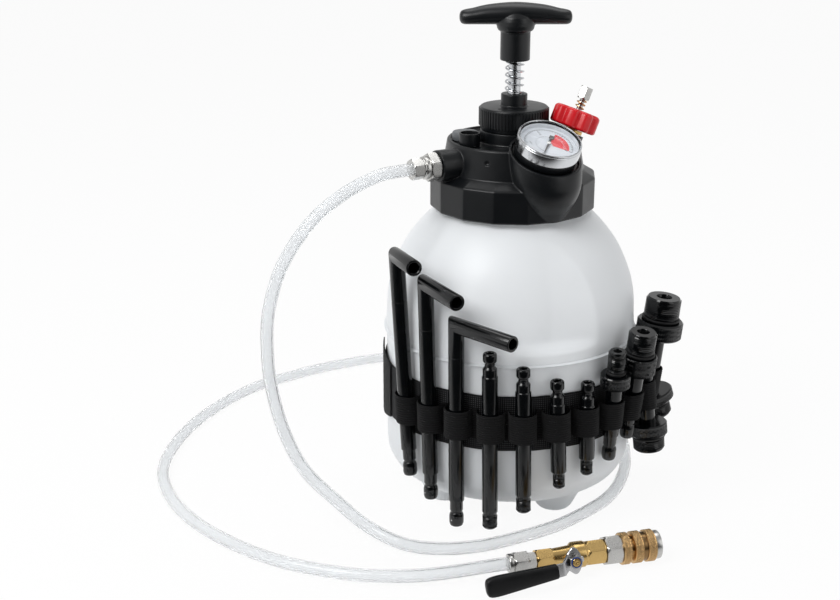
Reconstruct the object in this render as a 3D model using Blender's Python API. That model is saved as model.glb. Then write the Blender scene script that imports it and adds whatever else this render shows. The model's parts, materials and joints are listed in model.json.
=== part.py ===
"""Gear oil filler pump: a hand pumped pressure bottle with gauge, outlet hose, ball valve and hose adapters.

Metres, +Z up. The bottle stands on its four feet, the hose and its ball valve lie on the same surface.
Azimuths are measured from the front, -Y, towards +X.
"""
import math

import bmesh
import bpy
from mathutils import Matrix, Vector

for old in list(bpy.data.objects):
    bpy.data.objects.remove(old, do_unlink=True)

# Shared fits
GAP = 0.0003
OVERRUN = 0.002
ROUND = 24
HEAD_SIDES = 32
BRASS_SIDES = 18
NUT_SIDES = 12
THREAD_SIDES = 14
BARREL_SIDES = 16
KNOB_SIDES = 32
TINY = 0.00001

# Bottle
BOTTLE_RADIUS = 0.102
BOTTLE_HEIGHT = 0.262
BOTTLE_WALL = 0.0025
BOTTLE_COLUMNS = 32
NECK_RADIUS = 0.059
# outline from the middle of the base to the foot of the neck: shares of the radius and of the height
BOTTLE_OUTLINE_SHARES = (
    (0.49, 0.065), (0.608, 0.063), (0.686, 0.062), (0.765, 0.063), (0.843, 0.069), (0.922, 0.086),
    (0.975, 0.118), (1.0, 0.158), (1.002, 0.569), (1.0, 0.592), (0.994, 0.645),
    (0.971, 0.695), (0.940, 0.732), (0.890, 0.778), (0.838, 0.815),
    (0.762, 0.855), (0.68, 0.890), (0.603, 0.914),
)
BASE_MIDDLE_SHARE = 0.076
INNER_SKIPPED_ROWS = (1, 2, 4)
FEET = 4
FOOT_AZIMUTH = 34.0
FOOT_RING = 0.066
FOOT_FLAT = 0.0145
FOOT_BULGE = 0.0245
DISHES = 2
DISH_AZIMUTH = 16.0
DISH_LEFT_DEGREES = 45.0
DISH_RIGHT_DEGREES = 22.5
DISH_DEPTH = 0.008
DISH_LEDGE_SHARE = 0.569
DISH_FULL_SHARE = 0.592
DISH_TOP_SHARE = 0.885

# Pump head, one moulding with its screw collar; its heights are counted from the bottle's top
COLLAR_SIDES = 16
COLLAR_RADIUS = 0.067
COLLAR_AZIMUTH = 6.5
COLLAR_HANG = 0.0188
COLLAR_BOTTOM = BOTTLE_HEIGHT - COLLAR_HANG
COLLAR_RISE = 0.0080
COLLAR_TOP = BOTTLE_HEIGHT + COLLAR_RISE
COLLAR_EDGE = 0.0013
SEAL_RISE = 0.0025
SEAL_PLANE = BOTTLE_HEIGHT + SEAL_RISE
COLLAR_CLEARANCE = 0.0015
DRUM_FOOT_RADIUS = 0.0568
DRUM_TOP_RADIUS = 0.0530
DRUM_FOOT_RISE = 0.0126
DRUM_FOOT = BOTTLE_HEIGHT + DRUM_FOOT_RISE
DRUM_RIM_RISE = 0.0358
DRUM_RIM = BOTTLE_HEIGHT + DRUM_RIM_RISE
DRUM_RIM_WIDTH = 0.0030
DECK_RISE = 0.0335
DECK = BOTTLE_HEIGHT + DECK_RISE
NECK_SLEEVE_RADIUS = 0.0265
NECK_SLEEVE_RISE = 0.0432
NECK_SLEEVE_TOP = BOTTLE_HEIGHT + NECK_SLEEVE_RISE

HOSE_BOSS_RADIUS = 0.0125
HOSE_BOSS_AZIMUTH = -60.6
HOSE_BOSS_RISE = 0.0206
HOSE_BOSS_HEIGHT = BOTTLE_HEIGHT + HOSE_BOSS_RISE
HOSE_BOSS_REACH = 0.0708
HOSE_BOSS_ROOT = 0.035
HOSE_BOSS_BORE_DEPTH = 0.013

# Pump cap, barrel, rod and handle
CAP_RADIUS = 0.0280
CAP_RISE = 0.0617
CAP_TOP = BOTTLE_HEIGHT + CAP_RISE
CAP_TEETH = 22
CAP_TOOTH_DEPTH = 0.0008
CAP_EDGE = 0.0016
CAP_SKIRT = 0.0035
GUIDE_RADIUS = 0.0105
GUIDE_RISE = 0.0716
GUIDE_TOP = BOTTLE_HEIGHT + GUIDE_RISE
GUIDE_EDGE = 0.0008
VENT_RADIUS = 0.0013
VENT_DEPTH = 0.004
VENT_REACH = 0.019
VENT_AZIMUTH = -40.0

BARREL_RADIUS = 0.0200
BARREL_WALL = 0.0020
BARREL_BOTTOM = 0.088
BARREL_FLANGE_RADIUS = 0.0240
BARREL_FLANGE_HEIGHT = 0.0027
FOOT_VALVE_FLANGE = 0.0060
FOOT_VALVE_SPIGOT = 0.0055
FOOT_VALVE_HOLE = 0.0030

ROD_RADIUS = 0.0050
ROD_BOTTOM = 0.097
PISTON_BOTTOM = 0.099
PISTON_HEIGHT = 0.013
PISTON_SLACK = 0.0006
SEAL_HEIGHT = 0.0032
SEAL_DEPTH = 0.0024

HANDLE_SOCKET_RISE = 0.0980
HANDLE_SOCKET_BOTTOM = BOTTLE_HEIGHT + HANDLE_SOCKET_RISE
HANDLE_SOCKET_DEPTH = 0.021
HANDLE_RISE = 0.1430
HANDLE_TOP = BOTTLE_HEIGHT + HANDLE_RISE
HANDLE_HALF_LENGTH = 0.0440
HANDLE_HALF_HEIGHT = 0.0086
HANDLE_HALF_DEPTH = 0.0110
HANDLE_HUB_RADIUS = 0.0168
# stations along one arm: share of the half length, of the half height and of the half depth
HANDLE_ARM_SHARES = (
    (1.0, 0.42, 0.40), (0.97, 0.78, 0.72), (0.90, 0.98, 0.93), (0.78, 1.04, 1.0), (0.45, 0.94, 0.94),
    (0.12, 1.0, 1.0),
)
# hub from the socket's mouth upwards: share of the hub radius, share of the height up to the arm's middle
HANDLE_HUB_SHARES = (
    (0.70, 0.0), (0.72, 0.016), (0.72, 0.56), (0.76, 0.64), (0.88, 0.74), (0.97, 0.84), (1.0, 0.97),
)

SPRING_RADIUS = 0.0070
SPRING_WIRE = 0.0015
SPRING_TURNS = 4.5
SPRING_POINTS = 8

# Pickup tube
PICKUP_RADIUS = 0.0050
PICKUP_WALL = 0.0010
PICKUP_REACH = 0.0340
PICKUP_BOTTOM = 0.0240
PICKUP_SOCKET = 0.010

# Port plug and safety valve cap, in the ring of deck between the neck sleeve and the drum's rim
DECK_WIDTH = DRUM_TOP_RADIUS - DRUM_RIM_WIDTH - NECK_SLEEVE_RADIUS
PLUG_RIM_GAP = 0.00090924
PLUG_SLEEVE_GAP = 0.00559076
PLUG_RADIUS = (DECK_WIDTH - PLUG_RIM_GAP - PLUG_SLEEVE_GAP) / 2
PLUG_AZIMUTH = -61.288152
PLUG_HEIGHT = 0.0103
PLUG_REACH = NECK_SLEEVE_RADIUS + PLUG_SLEEVE_GAP + PLUG_RADIUS
PLUG_WALL = 0.0014
PLUG_HOLLOW = 0.0060
SAFETY_RIM_GAP = 0.0010372
SAFETY_SLEEVE_GAP = 0.0016628
SAFETY_RADIUS = (DECK_WIDTH - SAFETY_RIM_GAP - SAFETY_SLEEVE_GAP) / 2
DECK_CAPS_GAP = 0.00299289
SAFETY_HEIGHT = 0.0100
SAFETY_REACH = NECK_SLEEVE_RADIUS + SAFETY_SLEEVE_GAP + SAFETY_RADIUS
# the two stand side by side: the angle between them follows from how far apart they are
DECK_CAPS_APART = PLUG_RADIUS + SAFETY_RADIUS + DECK_CAPS_GAP
DECK_CAPS_ANGLE = math.degrees(math.acos(
    (PLUG_REACH ** 2 + SAFETY_REACH ** 2 - DECK_CAPS_APART ** 2) / (2 * PLUG_REACH * SAFETY_REACH)))
SAFETY_AZIMUTH = PLUG_AZIMUTH - DECK_CAPS_ANGLE

# Pressure gauge, in a cup on the front of the head
GAUGE_RISE = 0.0471
GAUGE_CENTRE = (0.0250, -0.0528, BOTTLE_HEIGHT + GAUGE_RISE)
GAUGE_AZIMUTH = 28.9
GAUGE_TILT = 23.6
BEZEL_RADIUS = 0.0254
BEZEL_HEIGHT = 0.0104
BEZEL_THICKNESS = 0.0007
BEZEL_LIP = 0.0010
BEZEL_LIP_WIDTH = 0.0027
CASE_WALL = 0.0010
CASE_DEPTH = 0.0174
LENS_THICKNESS = 0.0010
DIAL_DROP = 0.0062
DIAL_THICKNESS = 0.0007
NEEDLE_LENGTH = 0.0150
NEEDLE_TAIL = 0.0115
NEEDLE_WIDTH = 0.0016
NEEDLE_THICKNESS = 0.0007
NEEDLE_HUB = 0.0022
NEEDLE_LIFT = 0.0006
NEEDLE_REST_DEGREES = -45.0
GAUGE_STEM_RADIUS = 0.0045
GAUGE_STEM_LENGTH = 0.0072
CUP_RADIUS = 0.0288
CUP_WALL = 0.0022
CUP_POCKET_DEPTH = 0.0080
CUP_FOOT_RADIUS = 0.0120
CUP_FOOT_REACH = 0.0545
CUP_FOOT_AZIMUTH = 27.0
CAP_FINGER_ROOM = 0.0020
# stations down the cup: share of the way down, share of the way from the foot's radius to the rim's
CUP_SHARES = ((0.0, 1.0), (0.14, 1.0), (0.38, 0.93), (0.62, 0.70), (0.84, 0.32), (1.0, 0.0))

# Red relief knob with its bleed pin
KNOB_RISE = 0.0439
KNOB_BASE = (0.0461, -0.0013, BOTTLE_HEIGHT + KNOB_RISE)
KNOB_AZIMUTH = 115.3
KNOB_TILT = 23.1
KNOB_RADIUS = 0.0190
KNOB_HEIGHT = 0.0152
KNOB_LOBES = 8
KNOB_LOBE_DEPTH = 0.0020
KNOB_EDGE = 0.0022
KNOB_RECESS = 0.0080
RELIEF_BOSS_RADIUS = 0.0115
RELIEF_BOSS_GAP = 0.0036
RELIEF_BOSS_LENGTH = 0.020
RELIEF_FLANGE_RADIUS = 0.0095
RELIEF_NECK_RADIUS = 0.0050
RELIEF_TAIL_RADIUS = 0.0060
RELIEF_TAIL_LENGTH = 0.0110
PIN_RADIUS = 0.0024
PIN_HEAD_FLATS = 0.0095
PIN_HEAD_LENGTH = 0.0100
PIN_HEAD_START = 0.0243
PIN_SPRING_RADIUS = 0.0036
PIN_SPRING_WIRE = 0.0009
PIN_SPRING_TURNS = 2.5

# Outlet fitting on the head's boss, then the hose
FITTING_HEX_FLATS = 0.0200
FITTING_HEX_LENGTH = 0.0085
FITTING_RING_RADIUS = 0.0090
FITTING_RING_LENGTH = 0.0050
FITTING_NUT_FLATS = 0.0150
FITTING_NUT_LENGTH = 0.0090
FITTING_SPIGOT_RADIUS = 0.0062
HOSE_RADIUS = 0.0050
HOSE_STEP = 0.0300
# hand-chosen route of the hose, from the fitting on the head round the bottle to the ball valve
HOSE_ROUTE = (
    (-0.1082, -0.0650, 0.2816), (-0.1343, -0.0800, 0.2706), (-0.1586, -0.0900, 0.2507),
    (-0.1790, -0.0950, 0.2199), (-0.1895, -0.1000, 0.1865), (-0.1918, -0.1000, 0.1532),
    (-0.1893, -0.1000, 0.1213), (-0.1803, -0.1000, 0.0841), (-0.1650, -0.1030, 0.0536),
    (-0.1390, -0.1120, 0.0305), (-0.1160, -0.1240, 0.0160), (-0.0880, -0.1370, 0.0076),
    (-0.0592, -0.1410, 0.0054), (-0.0281, -0.1362, 0.0053), (0.0039, -0.1215, 0.0053),
    (0.0373, -0.1004, 0.0053), (0.0685, -0.0694, 0.0053), (0.0845, -0.0469, 0.0053),
    (0.0958, -0.0200, 0.0053), (0.1045, 0.0146, 0.0053), (0.1085, 0.0700, 0.0053),
    (0.1020, 0.1350, 0.0053), (0.0780, 0.1980, 0.0053), (0.0350, 0.2450, 0.0053),
    (-0.0250, 0.2700, 0.0053), (-0.0750, 0.2770, 0.0053), (-0.1200, 0.2680, 0.0053),
    (-0.1630, 0.2480, 0.0053), (-0.2010, 0.2220, 0.0053), (-0.2393, 0.1870, 0.0053),
    (-0.2700, 0.1360, 0.0053), (-0.2910, 0.0760, 0.0053), (-0.2975, 0.0085, 0.0053),
    (-0.2835, -0.0478, 0.0053), (-0.2562, -0.0953, 0.0053), (-0.2200, -0.1330, 0.0053),
    (-0.1798, -0.1615, 0.0053), (-0.1340, -0.1790, 0.0055), (-0.0950, -0.1865, 0.0070),
    (-0.0620, -0.1875, 0.0096),
)

# Ball valve and quick coupler at the hose's end, lying on the surface
VALVE_CENTRE = (0.0375, -0.1647)
VALVE_AZIMUTH = 14.7
COUPLER_RADIUS = 0.0123
VALVE_NUT_FLATS = 0.0150
VALVE_NUT_START = -0.0480
VALVE_NUT_END = -0.0332
VALVE_TAIL_FLATS = 0.0120
VALVE_TAIL_END = -0.0268
VALVE_BODY_FLATS_IN = 0.0145
VALVE_HEX_IN_END = -0.0135
BALL_HOUSING_RADIUS = 0.0100
BALL_HOUSING_END = 0.0136
VALVE_BODY_FLATS_OUT = 0.0180
VALVE_BODY_END = 0.0279
VALVE_BORE_RADIUS = 0.0040
BALL_RADIUS = 0.0068
BALL_BORE_RADIUS = 0.0035
BALL_CHAMBER = 0.0075
VALVE_END_FLATS = 0.0208
VALVE_END_START = 0.0282
VALVE_END_FINISH = 0.0410
COUPLER_SLEEVE_START = 0.0414
COUPLER_SLEEVE_END = 0.0680
COUPLER_RING_END = 0.0727
COUPLER_RING_RADIUS = 0.0110
COUPLER_BODY_RADIUS = 0.0088
COUPLER_BORE_RADIUS = 0.0058
COUPLER_BORE_DEPTH = 0.0220
COUPLER_TRAVEL = 0.0024
COUPLER_BAND_SHARE = 0.22
SLEEVE_BAND_DEPTH = 0.0008
STEM_TILT = 11.0
STEM_RADIUS = 0.0032
STEM_COLLAR_RADIUS = 0.0052
STEM_LENGTH = 0.0185
STEM_COLLAR_END = 0.0118
LEVER_LENGTH = 0.0735
LEVER_WIDTH = 0.0110
LEVER_THICKNESS = 0.0020
LEVER_START = 0.0122
LEVER_CRANK = 0.0120
LEVER_CRANK_RUN = 0.0140
LEVER_DROOP_DEGREES = 5.0
LEVER_NUT_FLATS = 0.0080
LEVER_NUT_HEIGHT = 0.0040
GRIP_LENGTH = 0.0500
GRIP_HEIGHT = 0.0150
GRIP_NARROW_SHARE = 0.75
GRIP_THICKNESS = 0.0080
STOP_TAB_LENGTH = 0.0065

# Belt round the bottle with loops for the adapters
BELT_MIDDLE = 0.0935
BELT_WIDTH = 0.0456
STRAP_THICKNESS = 0.0015
LOOP_WIDTH = 0.0252
LOOP_THICKNESS = 0.0011
LOOP_CLEARANCE = 0.0004
LOOP_PITCH_DEGREES = 13.5
FASTENER_START = -92.0
FASTENER_END = -70.0
FASTENER_HEIGHT = 0.0660
FASTENER_THICKNESS = 0.0016
FASTENER_STEPS = 6

# Adapters
TUBE_RADIUS = 0.00625
TUBE_BORE_RADIUS = 0.0042
ADAPTER_REACH = 0.1000
BALL_END_RADIUS = 0.0058
BALL_END_LENGTH = 0.0220
NIPPLE_LENGTH = 0.0190
NIPPLE_RADIUS = 0.0056
NIPPLE_BORE_RADIUS = 0.0030
ADAPTER_SIDES = 16
ARM_SIDES = 12
COLLAR_TO_BOTTLE = 0.0020
END_TO_BOTTLE = 0.00159
# lower quick-connect end, from its face upwards: share of its radius, share of its length
BALL_END_SHARES = (
    (0.70, 0.0), (0.97, 0.10), (0.97, 0.46), (0.76, 0.53), (0.76, 0.66), (1.0, 0.74),
)
# upper nipple, from its foot to its mouth: share of its radius, share of its length
NIPPLE_SHARES = (
    (1.10, 0.0), (1.10, 0.16), (0.74, 0.22), (0.74, 0.48), (0.98, 0.55), (0.92, 1.0),
)
# angled adapters: azimuth, tilt, foot and corner heights as shares of the reach, arm bearing, arm length
ANGLED_ADAPTERS = (
    (-50.6, -5.3, -0.567, 1.245, -72.4, 0.0465),
    (-37.6, -1.86, -0.701, 1.092, -65.3, 0.0550),
    (-24.7, -0.56, -0.880, 0.806, -46.5, 0.0590),
)
# straight adapters: azimuth, tilt, foot and top heights as shares of the reach
STRAIGHT_ADAPTERS = (
    (-10.7, -0.89, -0.861, 0.614),
    (2.7, -1.34, -0.712, 0.496),
    (17.0, -2.76, -0.530, 0.380),
    (30.5, -1.55, -0.462, 0.324),
)
# threaded adapters: azimuth, outward lean, tilt, plain end, thread end, collar start and collar length
# as shares of the reach, then thread radius and collar radius
THREADED_ADAPTERS = (
    (43.2, 6.0, -4.0, -0.410, 0.562, 0.255, 0.105, 0.0072, 0.0118),
    (56.3, 7.5, -2.5, -0.295, 0.655, 0.300, 0.150, 0.0113, 0.0144),
    (70.5, -6.0, 0.0, 0.385, -0.490, -0.250, 0.105, 0.0130, 0.0158),
    (84.5, 6.0, 0.0, -0.340, 0.745, 0.400, 0.145, 0.0146, 0.0190),
    (99.5, -17.0, 0.0, 0.387, -0.463, -0.235, 0.085, 0.0130, 0.0180),
)
THREAD_BORE_SHARE = 0.42
THREAD_BORE_DEPTH = 0.016
SEAL_RING_SHARE = 0.025


# Materials
def material(name, colour, roughness, metallic=0.0, alpha=1.0):
    made = bpy.data.materials.new(name)
    made.use_nodes = True
    shader = made.node_tree.nodes["Principled BSDF"]
    shader.inputs["Base Color"].default_value = (*colour, 1.0)
    shader.inputs["Roughness"].default_value = roughness
    shader.inputs["Metallic"].default_value = metallic
    shader.inputs["Alpha"].default_value = alpha
    return made


MILKY = material("milky_plastic", (0.86, 0.88, 0.90), 0.35)
BLACK_PLASTIC = material("black_plastic", (0.030, 0.032, 0.036), 0.42)
GREY_PLASTIC = material("grey_plastic", (0.45, 0.47, 0.49), 0.45)
RED_PLASTIC = material("red_plastic", (0.75, 0.02, 0.03), 0.30)
CLEAR_PLASTIC = material("clear_plastic", (0.85, 0.88, 0.90), 0.12, alpha=0.6)
GAUGE_GLASS = material("gauge_glass", (0.95, 0.96, 0.97), 0.05, alpha=0.2)
WHITE_ENAMEL = material("white_enamel", (0.90, 0.90, 0.88), 0.45)
CHROME = material("chrome", (0.80, 0.81, 0.82), 0.12, 1.0)
NICKEL = material("nickel", (0.66, 0.65, 0.62), 0.25, 1.0)
BRASS = material("brass", (0.72, 0.50, 0.18), 0.28, 1.0)
STEEL = material("steel", (0.60, 0.60, 0.60), 0.30, 1.0)
BLACK_STEEL = material("black_steel", (0.020, 0.020, 0.022), 0.25, 0.6)
BLACK_RUBBER = material("black_rubber", (0.018, 0.018, 0.018), 0.70)
BLACK_WEBBING = material("black_webbing", (0.022, 0.022, 0.024), 0.85)
HOSE_PLASTIC = material("hose_plastic", (0.84, 0.86, 0.86), 0.30, alpha=0.7)


# Building blocks
def rounded(angle):
    return 1.0


def polygonal(sides, start=0.0):
    """Shape of a regular polygon whose corners lie on the unit circle, one corner at the start angle."""
    half = math.pi / sides

    def shape(angle):
        turned_angle = (angle - start) % (2 * half)
        return math.cos(half) / math.cos(turned_angle - half)

    return shape


def toothed(count, depth_share):
    def shape(angle):
        return 1.0 - depth_share * (0.5 - 0.5 * math.cos(count * angle))

    return shape


def closed_mesh(name, rings, ring_shaped=False):
    """A closed mesh through rings of equal count; a ring of one point closes an end to a tip."""
    bm = bmesh.new()
    made = [[bm.verts.new(point) for point in ring] for ring in rings]
    pairs = list(zip(made[:-1], made[1:]))
    if ring_shaped:
        pairs.append((made[-1], made[0]))
    for lower, upper in pairs:
        count = max(len(lower), len(upper))
        for step in range(count):
            after = (step + 1) % count
            if len(lower) == 1:
                bm.faces.new((lower[0], upper[step], upper[after]))
            elif len(upper) == 1:
                bm.faces.new((lower[step], lower[after], upper[0]))
            else:
                bm.faces.new((lower[step], lower[after], upper[after], upper[step]))
    if not ring_shaped:
        for end in (made[0], made[-1]):
            if len(end) > 1:
                bm.faces.new(end)
    bmesh.ops.remove_doubles(bm, verts=bm.verts, dist=TINY)
    bmesh.ops.recalc_face_normals(bm, faces=bm.faces)
    mesh = bpy.data.meshes.new(name)
    bm.to_mesh(mesh)
    bm.free()
    return mesh


def turned_ring(radius, height, sides, shape, start=0.0):
    if radius == 0:
        return [Vector((0, 0, height))]
    ring = []
    for step in range(sides):
        angle = start + 2 * math.pi * step / sides
        reach = radius * shape(angle)
        ring.append(Vector((reach * math.sin(angle), -reach * math.cos(angle), height)))
    return ring


def turned(name, outline, sides=ROUND, ring_shaped=False, start=0.0):
    """A turned solid about Z; each outline point is a radius, a height and, where it isn't round, a shape."""
    rings = []
    for point in outline:
        shape = point[2] if len(point) > 2 else rounded
        rings.append(turned_ring(point[0], point[1], sides, shape, start))
    return closed_mesh(name, rings, ring_shaped)


def put(name, mesh, slot, parent, place=(0, 0, 0), turn=None, smooth=True):
    made = bpy.data.objects.new(name, mesh)
    bpy.context.scene.collection.objects.link(made)
    made.parent = parent
    made.location = place
    if turn is not None:
        made.rotation_mode = "QUATERNION"
        made.rotation_quaternion = turn
    mesh.materials.clear()
    mesh.materials.append(slot)
    if smooth:
        mesh.shade_smooth()
        mesh.set_sharp_from_angle(angle=math.radians(32))
    return made


def empty(name, parent, place=(0, 0, 0), turn=None):
    made = bpy.data.objects.new(name, None)
    bpy.context.scene.collection.objects.link(made)
    made.parent = parent
    made.location = place
    if turn is not None:
        made.rotation_mode = "QUATERNION"
        made.rotation_quaternion = turn
    return made


def shaped_by(target, tool_mesh, operation, place=(0, 0, 0), turn=None, solver="EXACT"):
    """Adds a hidden tool beside the target and a Boolean that joins it or cuts with it."""
    tool = put(target.name + "_" + operation.lower() + "_tool", tool_mesh, target.data.materials[0],
               target.parent, place, turn, smooth=False)
    tool.hide_render = True
    tool.display_type = "WIRE"
    change = target.modifiers.new(operation.lower(), "BOOLEAN")
    change.operation = operation
    change.object = tool
    change.solver = solver
    return tool


def turn_to(azimuth, tilt):
    """Rotation that leans Z by the tilt towards the azimuth."""
    bearing = Matrix.Rotation(math.radians(azimuth), 3, "Z")
    return (bearing @ Matrix.Rotation(math.radians(tilt), 3, "X")).to_quaternion()


def turn_frame(axis, outward):
    """Rotation with Z along the axis and -Y as near as can be to the outward direction."""
    up = Vector(axis).normalized()
    side = Vector(outward).cross(up).normalized() * -1.0
    front = up.cross(side)
    return Matrix((side, front, up)).transposed().to_quaternion()


def turn_beam(axis, beam):
    """Rotation with Z along the axis and X as near as can be to the beam's direction."""
    up = Vector(axis).normalized()
    side = (Vector(beam) - up * up.dot(Vector(beam))).normalized()
    return Matrix((side, up.cross(side), up)).transposed().to_quaternion()


def outward(azimuth, radius=1.0):
    angle = math.radians(azimuth)
    return Vector((radius * math.sin(angle), -radius * math.cos(angle), 0))


def helix(name, radius, bottom, top, turns, wire, slot, parent, place=(0, 0, 0), turn=None):
    """An open wire spring of even pitch, as one unbroken tube."""
    curve = bpy.data.curves.new(name, "CURVE")
    curve.dimensions = "3D"
    curve.bevel_depth = wire / 2
    curve.bevel_resolution = 1
    curve.use_fill_caps = True
    count = int(round(turns * SPRING_POINTS)) + 1
    spline = curve.splines.new("POLY")
    spline.points.add(count - 1)
    rise = top - bottom - wire
    for step in range(count):
        share = step / (count - 1)
        angle = 2 * math.pi * turns * share
        height = bottom + wire / 2 + rise * share
        spline.points[step].co = (radius * math.cos(angle), radius * math.sin(angle), height, 1.0)
    made = bpy.data.objects.new(name, curve)
    bpy.context.scene.collection.objects.link(made)
    curve.materials.append(slot)
    made.parent = parent
    made.location = place
    if turn is not None:
        made.rotation_mode = "QUATERNION"
        made.rotation_quaternion = turn
    print(name, "least gap between turns", round(rise / turns - wire, 5))
    return made


def smooth_step(value):
    held = min(1.0, max(0.0, value))
    return held * held * (3 - 2 * held)


root = empty("filler_pump", None)


# Bottle
def dish_depth(azimuth, height):
    """Depth of the two arched dishes in the wall: a ledge below, a soft slope left, a crisp edge right."""
    share = height / BOTTLE_HEIGHT
    if not DISH_LEDGE_SHARE < share < DISH_TOP_SHARE:
        return 0.0
    span = 360.0 / DISHES
    off = (azimuth - DISH_AZIMUTH + span / 2) % span - span / 2
    climb = (share - DISH_LEDGE_SHARE) / (DISH_TOP_SHARE - DISH_LEDGE_SHARE)
    arch = math.sqrt(1.0 - climb ** 3)
    away = abs(off) / (arch * (DISH_RIGHT_DEGREES if off > 0 else DISH_LEFT_DEGREES))
    if away >= 1.0:
        return 0.0
    across = 1.0 - away ** 2 if off > 0 else (1.0 - away) ** 1.5
    rise = min(1.0, (share - DISH_LEDGE_SHARE) / (DISH_FULL_SHARE - DISH_LEDGE_SHARE))
    return DISH_DEPTH * across * rise * (1.0 - climb ** 2)


def foot_drop(position, height):
    """How far the base sinks below its valley at this place, to the flats of the four feet."""
    span = 360.0 / FEET
    azimuth = math.degrees(math.atan2(position.x, -position.y))
    nearest = FOOT_AZIMUTH + span * round((azimuth - FOOT_AZIMUTH) / span)
    distance = (position - outward(nearest, FOOT_RING)).length
    share = 1.0 - smooth_step((distance - FOOT_FLAT) / (FOOT_BULGE - FOOT_FLAT))
    return height * share


def bottle_mesh():
    outline = [Vector((BOTTLE_RADIUS * a, BOTTLE_HEIGHT * b)) for a, b in BOTTLE_OUTLINE_SHARES]
    middle = Vector((0, BOTTLE_HEIGHT * BASE_MIDDLE_SHARE))
    path = [middle] + outline + [Vector((NECK_RADIUS, BOTTLE_HEIGHT))]
    inner = []
    for index, point in enumerate(outline):
        along = (path[index + 2] - path[index]).normalized()
        inner.append(point + Vector((-along.y, along.x)) * BOTTLE_WALL)
    offset = math.radians(FOOT_AZIMUTH)

    def ring(point, source_height, with_feet):
        made = []
        for step in range(BOTTLE_COLUMNS):
            angle = offset + 2 * math.pi * step / BOTTLE_COLUMNS
            azimuth = math.degrees(angle)
            reach = point.x - dish_depth(azimuth, source_height)
            place = Vector((reach * math.sin(angle), -reach * math.cos(angle), 0))
            height = point.y
            if with_feet and source_height < BOTTLE_WALL + BOTTLE_HEIGHT * BASE_MIDDLE_SHARE:
                height -= foot_drop(place, height)
            made.append(Vector((place.x, place.y, height)))
        return made

    rings = [[Vector((0, 0, middle.y))]]
    rings += [ring(point, point.y, True) for point in outline]
    inner_neck = NECK_RADIUS - BOTTLE_WALL
    for reach, height in ((NECK_RADIUS, outline[-1].y + BOTTLE_WALL), (NECK_RADIUS, BOTTLE_HEIGHT),
                          (inner_neck, BOTTLE_HEIGHT), (inner_neck, outline[-1].y + BOTTLE_WALL)):
        rings.append(ring(Vector((reach, height)), BOTTLE_HEIGHT, False))
    for index in reversed(range(len(inner) - 1)):
        if index not in INNER_SKIPPED_ROWS:
            rings.append(ring(inner[index], outline[index].y, False))
    rings.append([Vector((0, 0, middle.y + BOTTLE_WALL))])
    return closed_mesh("bottle", rings)


bottle = put("bottle", bottle_mesh(), MILKY, root)


# Pump head
collar_shape = polygonal(COLLAR_SIDES, math.radians(COLLAR_AZIMUTH))
head_bore = BARREL_RADIUS + GAP
seat_bore = BARREL_FLANGE_RADIUS + GAP
collar_bore = NECK_RADIUS + COLLAR_CLEARANCE
rim_inner = DRUM_TOP_RADIUS - DRUM_RIM_WIDTH
rim_round = DRUM_RIM_WIDTH * 0.3
seat_floor = NECK_SLEEVE_TOP - BARREL_FLANGE_HEIGHT - GAP
head = put("head_body", turned("head_body", (
    (0, COLLAR_BOTTOM),
    (COLLAR_RADIUS - COLLAR_EDGE, COLLAR_BOTTOM, collar_shape),
    (COLLAR_RADIUS, COLLAR_BOTTOM + COLLAR_EDGE, collar_shape),
    (COLLAR_RADIUS, COLLAR_TOP - COLLAR_EDGE, collar_shape),
    (COLLAR_RADIUS - COLLAR_EDGE, COLLAR_TOP, collar_shape),
    (DRUM_FOOT_RADIUS, DRUM_FOOT),
    (DRUM_TOP_RADIUS, DRUM_RIM - rim_round),
    (DRUM_TOP_RADIUS - rim_round, DRUM_RIM),
    (rim_inner, DRUM_RIM),
    (rim_inner, DECK),
    (NECK_SLEEVE_RADIUS, DECK),
    (NECK_SLEEVE_RADIUS, NECK_SLEEVE_TOP),
    (0, NECK_SLEEVE_TOP),
), HEAD_SIDES, start=math.radians(COLLAR_AZIMUTH)), BLACK_PLASTIC, root)

gauge_turn = turn_to(GAUGE_AZIMUTH, GAUGE_TILT)
gauge_normal = gauge_turn @ Vector((0, 0, 1))
gauge_centre = Vector(GAUGE_CENTRE)
rim_centre = gauge_centre - gauge_normal * BEZEL_HEIGHT
cup_foot = outward(CUP_FOOT_AZIMUTH, CUP_FOOT_REACH) + Vector((0, 0, COLLAR_BOTTOM + GAP))


def cup_mesh():
    """The gauge's cup: its rim square to the gauge, drawn in to a small level foot at the collar's edge."""
    rings = []
    for down, wide in CUP_SHARES:
        centre = rim_centre.lerp(cup_foot, down)
        radius = CUP_FOOT_RADIUS + (CUP_RADIUS - CUP_FOOT_RADIUS) * wide
        turn = gauge_turn.slerp(turn_to(GAUGE_AZIMUTH, 0), min(1.0, down / 0.84))
        rings.append([centre + turn @ point for point in turned_ring(radius, 0, BARREL_SIDES, rounded)])
    return closed_mesh("cup", rings)


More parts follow.
